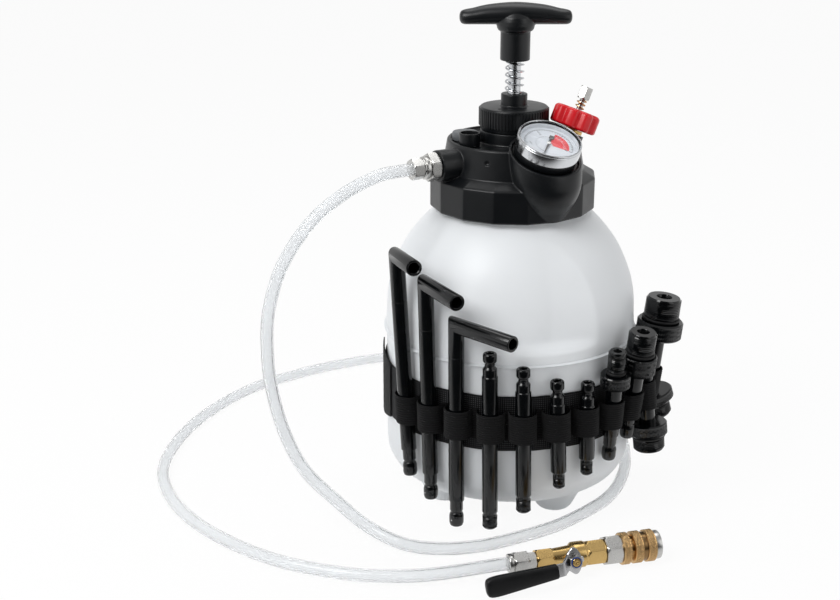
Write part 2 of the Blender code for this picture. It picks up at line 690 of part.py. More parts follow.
shaped_by(head, cup_mesh(), "UNION")
boss_direction = outward(HOSE_BOSS_AZIMUTH)
boss_turn = turn_frame(boss_direction, (0, 0, -1))
boss_face = boss_direction * HOSE_BOSS_REACH + Vector((0, 0, HOSE_BOSS_HEIGHT))
boss_edge = HOSE_BOSS_RADIUS * 0.06
shaped_by(head, turned("hose_boss", (
    (0, HOSE_BOSS_ROOT - HOSE_BOSS_REACH), (HOSE_BOSS_RADIUS, HOSE_BOSS_ROOT - HOSE_BOSS_REACH),
    (HOSE_BOSS_RADIUS, -boss_edge), (HOSE_BOSS_RADIUS - boss_edge, 0), (0, 0),
), BARREL_SIDES), "UNION", boss_face, boss_turn)
knob_turn = turn_to(KNOB_AZIMUTH, KNOB_TILT)
knob_axis = knob_turn @ Vector((0, 0, 1))
knob_base = Vector(KNOB_BASE)
shaped_by(head, turned("relief_boss", (
    (0, -RELIEF_BOSS_LENGTH), (RELIEF_BOSS_RADIUS, -RELIEF_BOSS_LENGTH),
    (RELIEF_BOSS_RADIUS, -RELIEF_BOSS_GAP), (0, -RELIEF_BOSS_GAP),
), BARREL_SIDES), "UNION", knob_base, knob_turn)
# screw collar's bore, barrel bore and seat, and the room round the pump cap
shaped_by(head, turned("head_bore", (
    (0, COLLAR_BOTTOM - OVERRUN), (collar_bore, COLLAR_BOTTOM - OVERRUN), (collar_bore, SEAL_PLANE),
    (head_bore, SEAL_PLANE), (head_bore, seat_floor), (seat_bore, seat_floor),
    (seat_bore, NECK_SLEEVE_TOP + OVERRUN), (0, NECK_SLEEVE_TOP + OVERRUN),
), HEAD_SIDES), "DIFFERENCE")
shaped_by(head, turned("cap_room", (
    (0, NECK_SLEEVE_TOP), (CAP_RADIUS + CAP_FINGER_ROOM, NECK_SLEEVE_TOP),
    (CAP_RADIUS + CAP_FINGER_ROOM, CAP_TOP), (0, CAP_TOP),
), ROUND), "DIFFERENCE")
# pocket for the gauge, bores for its stem, the hose fitting, the relief valve and the pickup tube
pocket_radius = CUP_RADIUS - CUP_WALL
shaped_by(head, turned("gauge_pocket", (
    (0, -CUP_POCKET_DEPTH), (pocket_radius, -CUP_POCKET_DEPTH),
    (pocket_radius, BEZEL_HEIGHT), (0, BEZEL_HEIGHT),
), BARREL_SIDES), "DIFFERENCE", rim_centre, gauge_turn)
stem_bore = GAUGE_STEM_RADIUS + GAP
shaped_by(head, turned("gauge_bore", (
    (0, -CUP_POCKET_DEPTH - GAUGE_STEM_LENGTH), (stem_bore, -CUP_POCKET_DEPTH - GAUGE_STEM_LENGTH),
    (stem_bore, 0), (0, 0),
), ARM_SIDES), "DIFFERENCE", rim_centre, gauge_turn)
fitting_bore = FITTING_SPIGOT_RADIUS + GAP
shaped_by(head, turned("fitting_bore", (
    (0, -HOSE_BOSS_BORE_DEPTH), (fitting_bore, -HOSE_BOSS_BORE_DEPTH), (fitting_bore, OVERRUN), (0, OVERRUN),
), NUT_SIDES), "DIFFERENCE", boss_face, boss_turn)
relief_bore = RELIEF_TAIL_RADIUS + GAP
relief_floor = -RELIEF_BOSS_GAP - RELIEF_TAIL_LENGTH - GAP
shaped_by(head, turned("relief_bore", (
    (0, relief_floor), (relief_bore, relief_floor), (relief_bore, 0), (0, 0),
), ARM_SIDES), "DIFFERENCE", knob_base, knob_turn)
pickup_place = outward(HOSE_BOSS_AZIMUTH, PICKUP_REACH)
pickup_bore = PICKUP_RADIUS + GAP
shaped_by(head, turned("pickup_bore", (
    (0, -OVERRUN), (pickup_bore, -OVERRUN), (pickup_bore, PICKUP_SOCKET), (0, PICKUP_SOCKET),
), ARM_SIDES), "DIFFERENCE", pickup_place + Vector((0, 0, SEAL_PLANE)))

put("head_gasket", turned("head_gasket", (
    (NECK_RADIUS - BOTTLE_WALL, BOTTLE_HEIGHT + GAP), (NECK_RADIUS, BOTTLE_HEIGHT + GAP),
    (NECK_RADIUS, SEAL_PLANE - GAP), (NECK_RADIUS - BOTTLE_WALL, SEAL_PLANE - GAP),
), BARREL_SIDES, ring_shaped=True), BLACK_RUBBER, root)

# Pump cap
cap_bottom = NECK_SLEEVE_TOP + GAP
rod_bore = ROD_RADIUS + GAP
cap_teeth = toothed(CAP_TEETH, CAP_TOOTH_DEPTH / CAP_RADIUS)
knurl_bottom = CAP_SKIRT + cap_bottom
knurl_top = CAP_TOP - CAP_EDGE * 1.5
cap = put("pump_cap", turned("pump_cap", (
    (rod_bore, cap_bottom),
    (CAP_RADIUS - CAP_EDGE, cap_bottom),
    (CAP_RADIUS - CAP_EDGE / 2, knurl_bottom),
    (CAP_RADIUS, knurl_bottom + CAP_TOOTH_DEPTH, cap_teeth),
    (CAP_RADIUS, knurl_top, cap_teeth),
    (CAP_RADIUS - CAP_EDGE / 2, CAP_TOP - CAP_EDGE / 2),
    (CAP_RADIUS - CAP_EDGE, CAP_TOP),
    (GUIDE_RADIUS, CAP_TOP),
    (GUIDE_RADIUS, GUIDE_TOP - GUIDE_EDGE),
    (GUIDE_RADIUS - GUIDE_EDGE, GUIDE_TOP),
    (rod_bore, GUIDE_TOP),
), CAP_TEETH * 2, ring_shaped=True), BLACK_PLASTIC, root)
shaped_by(cap, turned("vent", (
    (0, -VENT_DEPTH), (VENT_RADIUS, -VENT_DEPTH), (VENT_RADIUS, OVERRUN), (0, OVERRUN),
), 8), "DIFFERENCE", outward(VENT_AZIMUTH, VENT_REACH) + Vector((0, 0, CAP_TOP)))

# Pump barrel, foot valve, rod, piston
barrel_bore = BARREL_RADIUS - BARREL_WALL
put("pump_barrel", turned("pump_barrel", (
    (barrel_bore, BARREL_BOTTOM), (BARREL_RADIUS, BARREL_BOTTOM), (BARREL_RADIUS, seat_floor + GAP),
    (BARREL_FLANGE_RADIUS, seat_floor + GAP), (BARREL_FLANGE_RADIUS, NECK_SLEEVE_TOP),
    (barrel_bore, NECK_SLEEVE_TOP),
), BARREL_SIDES, ring_shaped=True), BLACK_PLASTIC, root)
valve_top = BARREL_BOTTOM - GAP
put("foot_valve", turned("foot_valve", (
    (FOOT_VALVE_HOLE, valve_top - FOOT_VALVE_FLANGE), (BARREL_RADIUS * 0.9, valve_top - FOOT_VALVE_FLANGE),
    (BARREL_RADIUS, valve_top - FOOT_VALVE_FLANGE / 2), (BARREL_RADIUS, valve_top),
    (barrel_bore - GAP, valve_top), (barrel_bore - GAP, valve_top + FOOT_VALVE_SPIGOT),
    (FOOT_VALVE_HOLE, valve_top + FOOT_VALVE_SPIGOT),
), BARREL_SIDES, ring_shaped=True), BLACK_RUBBER, root)

pump_moves = empty("pump_slide_axis", root, (0, 0, CAP_TOP))


def raised(outline):
    """The same outline with heights measured from the pump's moving frame."""
    return [(point[0], point[1] - CAP_TOP, *point[2:]) for point in outline]


handle_middle = HANDLE_TOP - HANDLE_HALF_HEIGHT
rod_top = HANDLE_SOCKET_BOTTOM + HANDLE_SOCKET_DEPTH - GAP
rod_end = ROD_RADIUS * 0.8
put("pump_rod", turned("pump_rod", raised((
    (0, ROD_BOTTOM), (rod_end, ROD_BOTTOM), (ROD_RADIUS, ROD_BOTTOM + ROD_RADIUS - rod_end),
    (ROD_RADIUS, rod_top - ROD_RADIUS + rod_end), (rod_end, rod_top), (0, rod_top),
)), ADAPTER_SIDES), STEEL, pump_moves)
piston_radius = barrel_bore - PISTON_SLACK
groove_radius = piston_radius - SEAL_DEPTH
groove_bottom = PISTON_BOTTOM + (PISTON_HEIGHT - SEAL_HEIGHT) / 2
groove_top = groove_bottom + SEAL_HEIGHT
piston_top = PISTON_BOTTOM + PISTON_HEIGHT
put("piston", turned("piston", raised((
    (rod_bore, PISTON_BOTTOM), (piston_radius, PISTON_BOTTOM), (piston_radius, groove_bottom - GAP),
    (groove_radius, groove_bottom - GAP), (groove_radius, groove_top + GAP),
    (piston_radius, groove_top + GAP),
    (piston_radius, piston_top), (rod_bore, piston_top),
)), BARREL_SIDES, ring_shaped=True), BLACK_PLASTIC, pump_moves)
seal_radius = barrel_bore - GAP
put("piston_seal", turned("piston_seal", raised((
    (groove_radius + GAP, groove_bottom), (seal_radius, groove_bottom),
    (seal_radius, groove_top), (groove_radius + GAP, groove_top),
)), BARREL_SIDES, ring_shaped=True), BLACK_RUBBER, pump_moves)


# T handle
def arm_mesh():
    stations = [(share, tall, deep) for share, tall, deep in HANDLE_ARM_SHARES]
    stations += [(-share, tall, deep) for share, tall, deep in reversed(HANDLE_ARM_SHARES)]
    rings = []
    for share, tall, deep in stations:
        ring = []
        for step in range(ARM_SIDES):
            angle = 2 * math.pi * step / ARM_SIDES
            ring.append(Vector((HANDLE_HALF_LENGTH * share, HANDLE_HALF_DEPTH * deep * math.cos(angle),
                                HANDLE_HALF_HEIGHT * tall * math.sin(angle))))
        rings.append(ring)
    return closed_mesh("handle_arm", rings)


hub_rise = handle_middle - HANDLE_SOCKET_BOTTOM
hub_outline = [(0, HANDLE_SOCKET_DEPTH), (rod_bore, HANDLE_SOCKET_DEPTH), (rod_bore, 0)]
hub_outline += [(HANDLE_HUB_RADIUS * wide, hub_rise * high) for wide, high in HANDLE_HUB_SHARES]
hub_outline += [(0, hub_rise)]
handle_frame = empty("handle_turn_axis", pump_moves, (0, 0, HANDLE_SOCKET_BOTTOM - CAP_TOP))
handle = put("t_handle", turned("t_handle", hub_outline, ADAPTER_SIDES), BLACK_PLASTIC, handle_frame)
shaped_by(handle, arm_mesh(), "UNION", (0, 0, hub_rise))
helix("pump_spring", SPRING_RADIUS, GUIDE_TOP + GAP, HANDLE_SOCKET_BOTTOM - GAP, SPRING_TURNS, SPRING_WIRE,
      STEEL, root)

# Pickup tube
put("pickup_tube", turned("pickup_tube", (
    (PICKUP_RADIUS - PICKUP_WALL, PICKUP_BOTTOM), (PICKUP_RADIUS, PICKUP_BOTTOM),
    (PICKUP_RADIUS, SEAL_PLANE + PICKUP_SOCKET - GAP),
    (PICKUP_RADIUS - PICKUP_WALL, SEAL_PLANE + PICKUP_SOCKET - GAP),
), ARM_SIDES, ring_shaped=True), CLEAR_PLASTIC, root, pickup_place)

# Port plug and safety valve cap
deck_seat = Vector((0, 0, DECK + GAP))
plug_inner = PLUG_RADIUS - PLUG_WALL
put("port_plug", turned("port_plug", (
    (0, 0), (PLUG_RADIUS, 0), (PLUG_RADIUS, PLUG_HEIGHT - PLUG_WALL / 2),
    (PLUG_RADIUS - PLUG_WALL / 2, PLUG_HEIGHT), (plug_inner, PLUG_HEIGHT),
    (plug_inner, PLUG_HEIGHT - PLUG_HOLLOW), (0, PLUG_HEIGHT - PLUG_HOLLOW),
), ADAPTER_SIDES), BLACK_PLASTIC, root, outward(PLUG_AZIMUTH, PLUG_REACH) + deck_seat)
safety_edge = SAFETY_RADIUS * 0.12
put("safety_cap", turned("safety_cap", (
    (0, 0), (SAFETY_RADIUS, 0), (SAFETY_RADIUS, SAFETY_HEIGHT - safety_edge),
    (SAFETY_RADIUS - safety_edge, SAFETY_HEIGHT), (0, SAFETY_HEIGHT),
), ADAPTER_SIDES), GREY_PLASTIC, root, outward(SAFETY_AZIMUTH, SAFETY_REACH) + deck_seat)

# Gauge
gauge_frame = empty("gauge_axis", root, gauge_centre, gauge_turn)
bezel_inner = BEZEL_RADIUS - BEZEL_THICKNESS
put("gauge_bezel", turned("gauge_bezel", (
    (bezel_inner, -BEZEL_HEIGHT), (BEZEL_RADIUS, -BEZEL_HEIGHT), (BEZEL_RADIUS, -BEZEL_LIP),
    (BEZEL_RADIUS - BEZEL_LIP, 0), (BEZEL_RADIUS - BEZEL_LIP_WIDTH, 0),
    (BEZEL_RADIUS - BEZEL_LIP_WIDTH, -BEZEL_LIP), (bezel_inner, -BEZEL_LIP),
), ROUND, ring_shaped=True), CHROME, gauge_frame)
case_radius = bezel_inner - GAP
case_inner = case_radius - CASE_WALL
lens_bottom = -BEZEL_LIP - GAP - LENS_THICKNESS
dial_top = -DIAL_DROP
dial_bottom = dial_top - DIAL_THICKNESS
put("gauge_case", turned("gauge_case", (
    (0, -CASE_DEPTH), (case_radius, -CASE_DEPTH), (case_radius, lens_bottom - GAP),
    (case_inner, lens_bottom - GAP), (case_inner, dial_bottom - GAP),
    (case_inner - CASE_WALL, dial_bottom - GAP),
    (case_inner - CASE_WALL, -CASE_DEPTH + CASE_WALL), (0, -CASE_DEPTH + CASE_WALL),
), ROUND), CHROME, gauge_frame)
put("gauge_lens", turned("gauge_lens", (
    (0, lens_bottom), (case_radius, lens_bottom), (case_radius, -BEZEL_LIP - GAP), (0, -BEZEL_LIP - GAP),
), ROUND), GAUGE_GLASS, gauge_frame)
put("gauge_dial", turned("gauge_dial", (
    (0, dial_bottom), (case_inner - GAP, dial_bottom), (case_inner - GAP, dial_top), (0, dial_top),
), ROUND), WHITE_ENAMEL, gauge_frame)


def needle_mesh():
    """A flat pointer with a broad tail, pointing along -Y."""
    half = NEEDLE_WIDTH / 2
    outline = ((half / 2, -NEEDLE_LENGTH), (half, -NEEDLE_HUB), (NEEDLE_HUB, 0), (half, NEEDLE_HUB),
               (NEEDLE_WIDTH, NEEDLE_HUB), (NEEDLE_WIDTH, NEEDLE_TAIL))
    ring = [Vector((x, y, 0)) for x, y in outline] + [Vector((-x, y, 0)) for x, y in reversed(outline)]
    return closed_mesh("gauge_needle", [ring, [point + Vector((0, 0, NEEDLE_THICKNESS)) for point in ring]])


put("gauge_needle", needle_mesh(), BLACK_PLASTIC, gauge_frame, (0, 0, dial_top + NEEDLE_LIFT),
    Matrix.Rotation(math.radians(NEEDLE_REST_DEGREES), 3, "Z").to_quaternion(), smooth=False)
case_floor = -CASE_DEPTH - GAP
put("gauge_stem", turned("gauge_stem", (
    (0, -BEZEL_HEIGHT - CUP_POCKET_DEPTH - GAUGE_STEM_LENGTH + GAP),
    (GAUGE_STEM_RADIUS, -BEZEL_HEIGHT - CUP_POCKET_DEPTH - GAUGE_STEM_LENGTH + GAP),
    (GAUGE_STEM_RADIUS, case_floor), (0, case_floor),
), ADAPTER_SIDES), BRASS, gauge_frame)

# Relief knob, valve body, bleed pin
knob_frame = empty("relief_axis", root, knob_base, knob_turn)
knob_shape = toothed(KNOB_LOBES, KNOB_LOBE_DEPTH / KNOB_RADIUS)
neck_bore = RELIEF_NECK_RADIUS + GAP
pin_bore = PIN_RADIUS + GAP
put("relief_knob", turned("relief_knob", (
    (neck_bore, 0), (KNOB_RADIUS - KNOB_EDGE, 0, knob_shape), (KNOB_RADIUS, KNOB_EDGE / 2, knob_shape),
    (KNOB_RADIUS, KNOB_HEIGHT - KNOB_EDGE, knob_shape),
    (KNOB_RADIUS - KNOB_EDGE / 3, KNOB_HEIGHT - KNOB_EDGE / 3, knob_shape),
    (KNOB_RADIUS - KNOB_EDGE, KNOB_HEIGHT, knob_shape), (pin_bore, KNOB_HEIGHT),
    (pin_bore, KNOB_RECESS), (neck_bore, KNOB_RECESS),
), KNOB_SIDES, ring_shaped=True), RED_PLASTIC, knob_frame)
put("relief_valve", turned("relief_valve", (
    (0, relief_floor + GAP), (RELIEF_TAIL_RADIUS, relief_floor + GAP),
    (RELIEF_TAIL_RADIUS, -RELIEF_BOSS_GAP + GAP), (RELIEF_FLANGE_RADIUS, -RELIEF_BOSS_GAP + GAP),
    (RELIEF_FLANGE_RADIUS, -GAP), (RELIEF_NECK_RADIUS, -GAP), (RELIEF_NECK_RADIUS, KNOB_RECESS - GAP),
    (pin_bore, KNOB_RECESS - GAP), (pin_bore, GAP), (0, GAP),
), ADAPTER_SIDES), BRASS, knob_frame)
pin_start = PIN_RADIUS / 2
pin_hex = polygonal(6)
pin_corner = PIN_HEAD_FLATS / math.sqrt(3)
pin_top = PIN_HEAD_START + PIN_HEAD_LENGTH
put("relief_pin", turned("relief_pin", (
    (0, pin_start), (PIN_RADIUS, pin_start), (PIN_RADIUS, PIN_HEAD_START),
    (pin_corner * 0.9, PIN_HEAD_START, pin_hex),
    (pin_corner, PIN_HEAD_START + PIN_RADIUS / 3, pin_hex), (pin_corner, pin_top - PIN_RADIUS / 3, pin_hex),
    (pin_corner * 0.88, pin_top, pin_hex), (0, pin_top),
), ARM_SIDES), NICKEL, knob_frame)
helix("relief_spring", PIN_SPRING_RADIUS, KNOB_HEIGHT + GAP, PIN_HEAD_START - GAP, PIN_SPRING_TURNS,
      PIN_SPRING_WIRE, BRASS, knob_frame)

# Outlet fitting
fitting_frame = empty("fitting_axis", root, boss_face, boss_turn)
hexagon = polygonal(6)
hex_corner = FITTING_HEX_FLATS / math.sqrt(3)
ring_start = GAP + FITTING_HEX_LENGTH
ring_end = ring_start + FITTING_RING_LENGTH
hex_edge = FITTING_HEX_LENGTH * 0.1
put("outlet_fitting", turned("outlet_fitting", (
    (0, GAP - HOSE_BOSS_BORE_DEPTH), (FITTING_SPIGOT_RADIUS, GAP - HOSE_BOSS_BORE_DEPTH),
    (FITTING_SPIGOT_RADIUS, GAP), (hex_corner * 0.92, GAP, hexagon), (hex_corner, GAP + hex_edge, hexagon),
    (hex_corner, ring_start - hex_edge, hexagon), (hex_corner * 0.92, ring_start, hexagon),
    (FITTING_RING_RADIUS, ring_start), (FITTING_RING_RADIUS, ring_end), (0, ring_end),
), NUT_SIDES), NICKEL, fitting_frame)
nut_corner = FITTING_NUT_FLATS / math.sqrt(3)
nut_start = ring_end + GAP
nut_end = nut_start + FITTING_NUT_LENGTH
put("outlet_nut", turned("outlet_nut", (
    (0, nut_start), (nut_corner * 0.92, nut_start, hexagon), (nut_corner, nut_start + hex_edge, hexagon),
    (nut_corner, nut_end - hex_edge * 2, hexagon), (nut_corner * 0.86, nut_end, hexagon), (0, nut_end),
), NUT_SIDES), NICKEL, fitting_frame)

# Ball valve and coupler: local X runs from the hose to the coupler
valve_place = Vector((*VALVE_CENTRE, COUPLER_RADIUS))
valve_turn = Matrix.Rotation(math.radians(VALVE_AZIMUTH), 3, "Z").to_quaternion()
valve_frame = empty("valve_axis", root, valve_place, valve_turn)
along_x = turn_frame((1, 0, 0), (0, 0, -1))


def hex_run(flats, start, end, edge_share=0.08):
    corner = flats / math.sqrt(3)
    edge = corner * edge_share
    return [(corner - edge, start, hexagon), (corner, start + edge, hexagon),
            (corner, end - edge, hexagon), (corner - edge, end, hexagon)]


put("valve_hose_nut", turned(
    "valve_hose_nut",
    [(0, VALVE_NUT_START)] + hex_run(VALVE_NUT_FLATS, VALVE_NUT_START, VALVE_NUT_END) + [(0, VALVE_NUT_END)],
    NUT_SIDES), NICKEL, valve_frame, turn=along_x)
tail_start = VALVE_NUT_END + GAP
put("valve_tail", turned(
    "valve_tail",
    [(0, tail_start)] + hex_run(VALVE_TAIL_FLATS, tail_start, VALVE_TAIL_END) + [(0, VALVE_TAIL_END)],
    NUT_SIDES), NICKEL, valve_frame, turn=along_x)
body_start = VALVE_TAIL_END + GAP
shoulder = BALL_HOUSING_RADIUS * 0.3
valve_body = put("valve_body", turned(
    "valve_body",
    [(VALVE_BORE_RADIUS, body_start)] + hex_run(VALVE_BODY_FLATS_IN, body_start, VALVE_HEX_IN_END)
    + [(BALL_HOUSING_RADIUS * 0.8, VALVE_HEX_IN_END), (BALL_HOUSING_RADIUS, VALVE_HEX_IN_END + shoulder),
       (BALL_HOUSING_RADIUS, BALL_HOUSING_END - shoulder), (BALL_HOUSING_RADIUS * 0.85, BALL_HOUSING_END)]
    + hex_run(VALVE_BODY_FLATS_OUT, BALL_HOUSING_END, VALVE_BODY_END)
    + [(VALVE_BORE_RADIUS, VALVE_BODY_END), (VALVE_BORE_RADIUS, BALL_CHAMBER), (BALL_CHAMBER, BALL_CHAMBER),
       (BALL_CHAMBER, -BALL_CHAMBER), (VALVE_BORE_RADIUS, -BALL_CHAMBER)],
    BRASS_SIDES, ring_shaped=True), BRASS, valve_frame, turn=along_x)
stem_direction = Vector((0, -math.cos(math.radians(STEM_TILT)), math.sin(math.radians(STEM_TILT))))
stem_turn = turn_beam(stem_direction, (-1, 0, 0))
stem_bore_radius = STEM_RADIUS + GAP
shaped_by(valve_body, turned("stem_boss", (
    (0, BALL_HOUSING_RADIUS * 0.82), (STEM_COLLAR_RADIUS, BALL_HOUSING_RADIUS * 0.82),
    (STEM_COLLAR_RADIUS, STEM_COLLAR_END - GAP), (0, STEM_COLLAR_END - GAP),
), ADAPTER_SIDES), "UNION", (0, 0, 0), stem_turn)
shaped_by(valve_body, turned("stem_bore", (
    (0, BALL_RADIUS * 0.5), (stem_bore_radius, BALL_RADIUS * 0.5),
    (stem_bore_radius, STEM_COLLAR_END + OVERRUN),
    (0, STEM_COLLAR_END + OVERRUN),
), ADAPTER_SIDES), "DIFFERENCE", (0, 0, 0), stem_turn)
put("valve_end", turned(
    "valve_end",
    [(VALVE_BORE_RADIUS, VALVE_END_START)] + hex_run(VALVE_END_FLATS, VALVE_END_START, VALVE_END_FINISH)
    + [(VALVE_BORE_RADIUS, VALVE_END_FINISH)],
    NUT_SIDES, ring_shaped=True), NICKEL, valve_frame, turn=along_x)

coupler_start = VALVE_END_FINISH + GAP
coupler_end = COUPLER_RING_END
sleeve_inner = COUPLER_BODY_RADIUS + GAP
sleeve_start = COUPLER_SLEEVE_START + GAP
sleeve_run = COUPLER_SLEEVE_END - sleeve_start
band_low = COUPLER_RADIUS - SLEEVE_BAND_DEPTH
fixed_end = sleeve_start + sleeve_run * COUPLER_BAND_SHARE
put("coupler_body", turned(
    "coupler_body",
    ((0, coupler_start), (band_low, coupler_start), (COUPLER_RADIUS, coupler_start + SLEEVE_BAND_DEPTH),
     (COUPLER_RADIUS, fixed_end - SLEEVE_BAND_DEPTH), (band_low, fixed_end), (COUPLER_BODY_RADIUS, fixed_end),
     (COUPLER_BODY_RADIUS, coupler_end),
     (COUPLER_BORE_RADIUS, coupler_end), (COUPLER_BORE_RADIUS, coupler_end - COUPLER_BORE_DEPTH),
     (0, coupler_end - COUPLER_BORE_DEPTH)), BRASS_SIDES), BRASS, valve_frame, turn=along_x)
# the sliding sleeve's two bands and the groove between them:
# share of its run, and whether the point lies on a band
SLEEVE_STATION_SHARES = ((0.0, 0), (0.05, 1), (0.38, 1), (0.44, 0), (0.56, 0), (0.62, 1), (0.95, 1), (1.0, 0))
slide_start = fixed_end + GAP + COUPLER_TRAVEL
slide_run = COUPLER_SLEEVE_END - slide_start
put("coupler_sleeve", turned(
    "coupler_sleeve",
    [(sleeve_inner, slide_start)]
    + [(COUPLER_RADIUS if on_band else band_low, slide_start + slide_run * share)
       for share, on_band in SLEEVE_STATION_SHARES]
    + [(sleeve_inner, COUPLER_SLEEVE_END)], BRASS_SIDES, ring_shaped=True), BRASS, valve_frame, turn=along_x)
ring_begin = COUPLER_SLEEVE_END + GAP
put("coupler_ring", turned("coupler_ring", (
    (sleeve_inner, ring_begin), (COUPLER_RING_RADIUS, ring_begin),
    (COUPLER_RING_RADIUS, coupler_end - SLEEVE_BAND_DEPTH),
    (COUPLER_RING_RADIUS - SLEEVE_BAND_DEPTH, coupler_end), (sleeve_inner, coupler_end),
), BRASS_SIDES, ring_shaped=True), BRASS, valve_frame, turn=along_x)

# ball, stem, lever plate, grip and nut turn together about the stem
lever_frame = empty("lever_axis", valve_frame, (0, 0, 0), stem_turn)
ball_outline = []
for step in range(9):
    angle = math.pi * (step / 8 - 0.5)
    if abs(BALL_RADIUS * math.cos(angle)) > BALL_BORE_RADIUS:
        ball_outline.append((BALL_RADIUS * math.cos(angle), BALL_RADIUS * math.sin(angle)))
cut_height = math.sqrt(BALL_RADIUS ** 2 - BALL_BORE_RADIUS ** 2)
ball_outline = [(BALL_BORE_RADIUS, -cut_height)] + ball_outline + [(BALL_BORE_RADIUS, cut_height)]
put("valve_ball", turned("valve_ball", ball_outline, ARM_SIDES, ring_shaped=True), CHROME, valve_frame,
    turn=along_x)
stem_foot = BALL_RADIUS + GAP
put("valve_stem", turned("valve_stem", (
    (0, stem_foot), (STEM_RADIUS, stem_foot), (STEM_RADIUS, STEM_LENGTH), (0, STEM_LENGTH),
), ARM_SIDES), BRASS, lever_frame)


def lever_points():
    """Side view of the lever: distance from the stem along the lever, height along the stem's axis."""
    return ((-STOP_TAB_LENGTH, LEVER_START), (LEVER_WIDTH * 0.45, LEVER_START),
            (LEVER_CRANK_RUN, LEVER_START + LEVER_CRANK), (LEVER_LENGTH * 0.35, LEVER_START + LEVER_CRANK))


def plate_mesh(name, points, width, thickness):
    """A bent flat strip with its side view in XZ, as wide as the width along Y."""
    lower, upper = [], []
    for index, (x, z) in enumerate(points):
        before = Vector(points[max(0, index - 1)])
        after = Vector(points[min(len(points) - 1, index + 1)])
        along = (after - before).normalized()
        normal = Vector((-along.y, along.x))
        lower.append(Vector((x, z)))
        upper.append(Vector((x, z)) + normal * thickness)
    rings = []
    for low, high in zip(lower, upper):
        rings.append([Vector((low.x, -width / 2, low.y)), Vector((low.x, width / 2, low.y)),
                      Vector((high.x, width / 2, high.y)), Vector((high.x, -width / 2, high.y))])
    return closed_mesh(name, rings)


droop = Matrix.Rotation(math.radians(LEVER_DROOP_DEGREES), 3, "Z").to_quaternion()
lever = put("valve_lever", plate_mesh("valve_lever", lever_points(), LEVER_WIDTH, LEVER_THICKNESS), STEEL,
            lever_frame, turn=droop, smooth=False)
stem_hole = STEM_RADIUS + GAP
shaped_by(lever, turned("lever_hole", (
    (0, LEVER_START - OVERRUN), (stem_hole, LEVER_START - OVERRUN),
    (stem_hole, LEVER_START + LEVER_THICKNESS + OVERRUN), (0, LEVER_START + LEVER_THICKNESS + OVERRUN),
), ARM_SIDES), "DIFFERENCE")
nut_base = LEVER_START + LEVER_THICKNESS + GAP
nut_hex = LEVER_NUT_FLATS / math.sqrt(3)
put("lever_nut", turned("lever_nut", (
    (stem_hole, nut_base), (nut_hex, nut_base, hexagon), (nut_hex, nut_base + LEVER_NUT_HEIGHT, hexagon),
    (stem_hole, nut_base + LEVER_NUT_HEIGHT),
), ARM_SIDES, ring_shaped=True), NICKEL, lever_frame)


def grip_mesh():
    """Moulded grip over the lever's blade: narrow at the blade, broad and rounded at its end."""
    start = LEVER_LENGTH - GRIP_LENGTH
    rings = []
    for share, swell in ((0.0, 0.55), (0.05, 0.95), (0.35, 1.0), (0.75, 1.0), (0.92, 0.88), (1.0, 0.50)):
        height = GRIP_HEIGHT * (GRIP_NARROW_SHARE + (1 - GRIP_NARROW_SHARE) * share) * swell
        depth = GRIP_THICKNESS * min(1.0, swell + 0.1)
        ring = []
        for step in range(ARM_SIDES):
            angle = 2 * math.pi * step / ARM_SIDES
            ring.append(Vector((start + GRIP_LENGTH * share, height / 2 * math.cos(angle),
                                depth / 2 * math.sin(angle))))
        rings.append(ring)
    return closed_mesh("lever_grip", rings)


blade_middle = LEVER_START + LEVER_CRANK + LEVER_THICKNESS / 2
grip = put("lever_grip", grip_mesh(), BLACK_RUBBER, lever_frame, (0, 0, blade_middle), droop)
slot = closed_mesh("grip_slot", [
    [Vector((LEVER_LENGTH * share, side * (LEVER_WIDTH / 2 + GAP), up * (LEVER_THICKNESS / 2 + GAP)))
     for side, up in ((-1, -1), (1, -1), (1, 1), (-1, 1))] for share in (0.2, 0.355)])
shaped_by(grip, slot, "DIFFERENCE", (0, 0, blade_middle), droop)


# Hose
def smooth_route(points, step):
    """Even points along a smooth curve through the route's own points."""
    fine = []
    for index in range(len(points) - 1):
        before = points[max(0, index - 1)]
        start, end = points[index], points[index + 1]
        after = points[min(len(points) - 1, index + 2)]
        for part in range(12):
            t = part / 12
            bend = 2 * before - 5 * start + 4 * end - after
            twist = 3 * start - before - 3 * end + after
            fine.append(0.5 * (2 * start + (end - before) * t + bend * t ** 2 + twist * t ** 3))
    fine.append(points[-1])
    total = sum((b - a).length for a, b in zip(fine[:-1], fine[1:]))
    count = round(total / step)
    even, gone, wanted = [fine[0]], 0.0, total / count
    for a, b in zip(fine[:-1], fine[1:]):
        length = (b - a).length
        while gone + length >= wanted * len(even) and len(even) < count:
            even.append(a.lerp(b, (wanted * len(even) - gone) / length))
        gone += length
    even.append(fine[-1])
    print("hose length", round(total, 4), "points", len(even))
    return even


hose_start = boss_face + boss_direction * (nut_end + GAP)
valve_direction = valve_turn @ Vector((1, 0, 0))
hose_end = valve_place + valve_direction * (VALVE_NUT_START - GAP)
route = [hose_start + boss_direction * 2 * HOSE_RADIUS] + [Vector(point) for point in HOSE_ROUTE]
route += [hose_end - valve_direction * 2 * HOSE_RADIUS]
hose_curve = bpy.data.curves.new("hose", "CURVE")
hose_curve.dimensions = "3D"
hose_curve.bevel_depth = HOSE_RADIUS
hose_curve.bevel_resolution = 2
hose_curve.use_fill_caps = True
hose_points = [hose_start] + smooth_route(route, HOSE_STEP) + [hose_end]
hose_spline = hose_curve.splines.new("POLY")
hose_spline.points.add(len(hose_points) - 1)
for index, point in enumerate(hose_points):
    hose_spline.points[index].co = (*point, 1.0)
hose = bpy.data.objects.new("hose", hose_curve)
bpy.context.scene.collection.objects.link(hose)
hose_curve.materials.append(HOSE_PLASTIC)
hose.parent = root

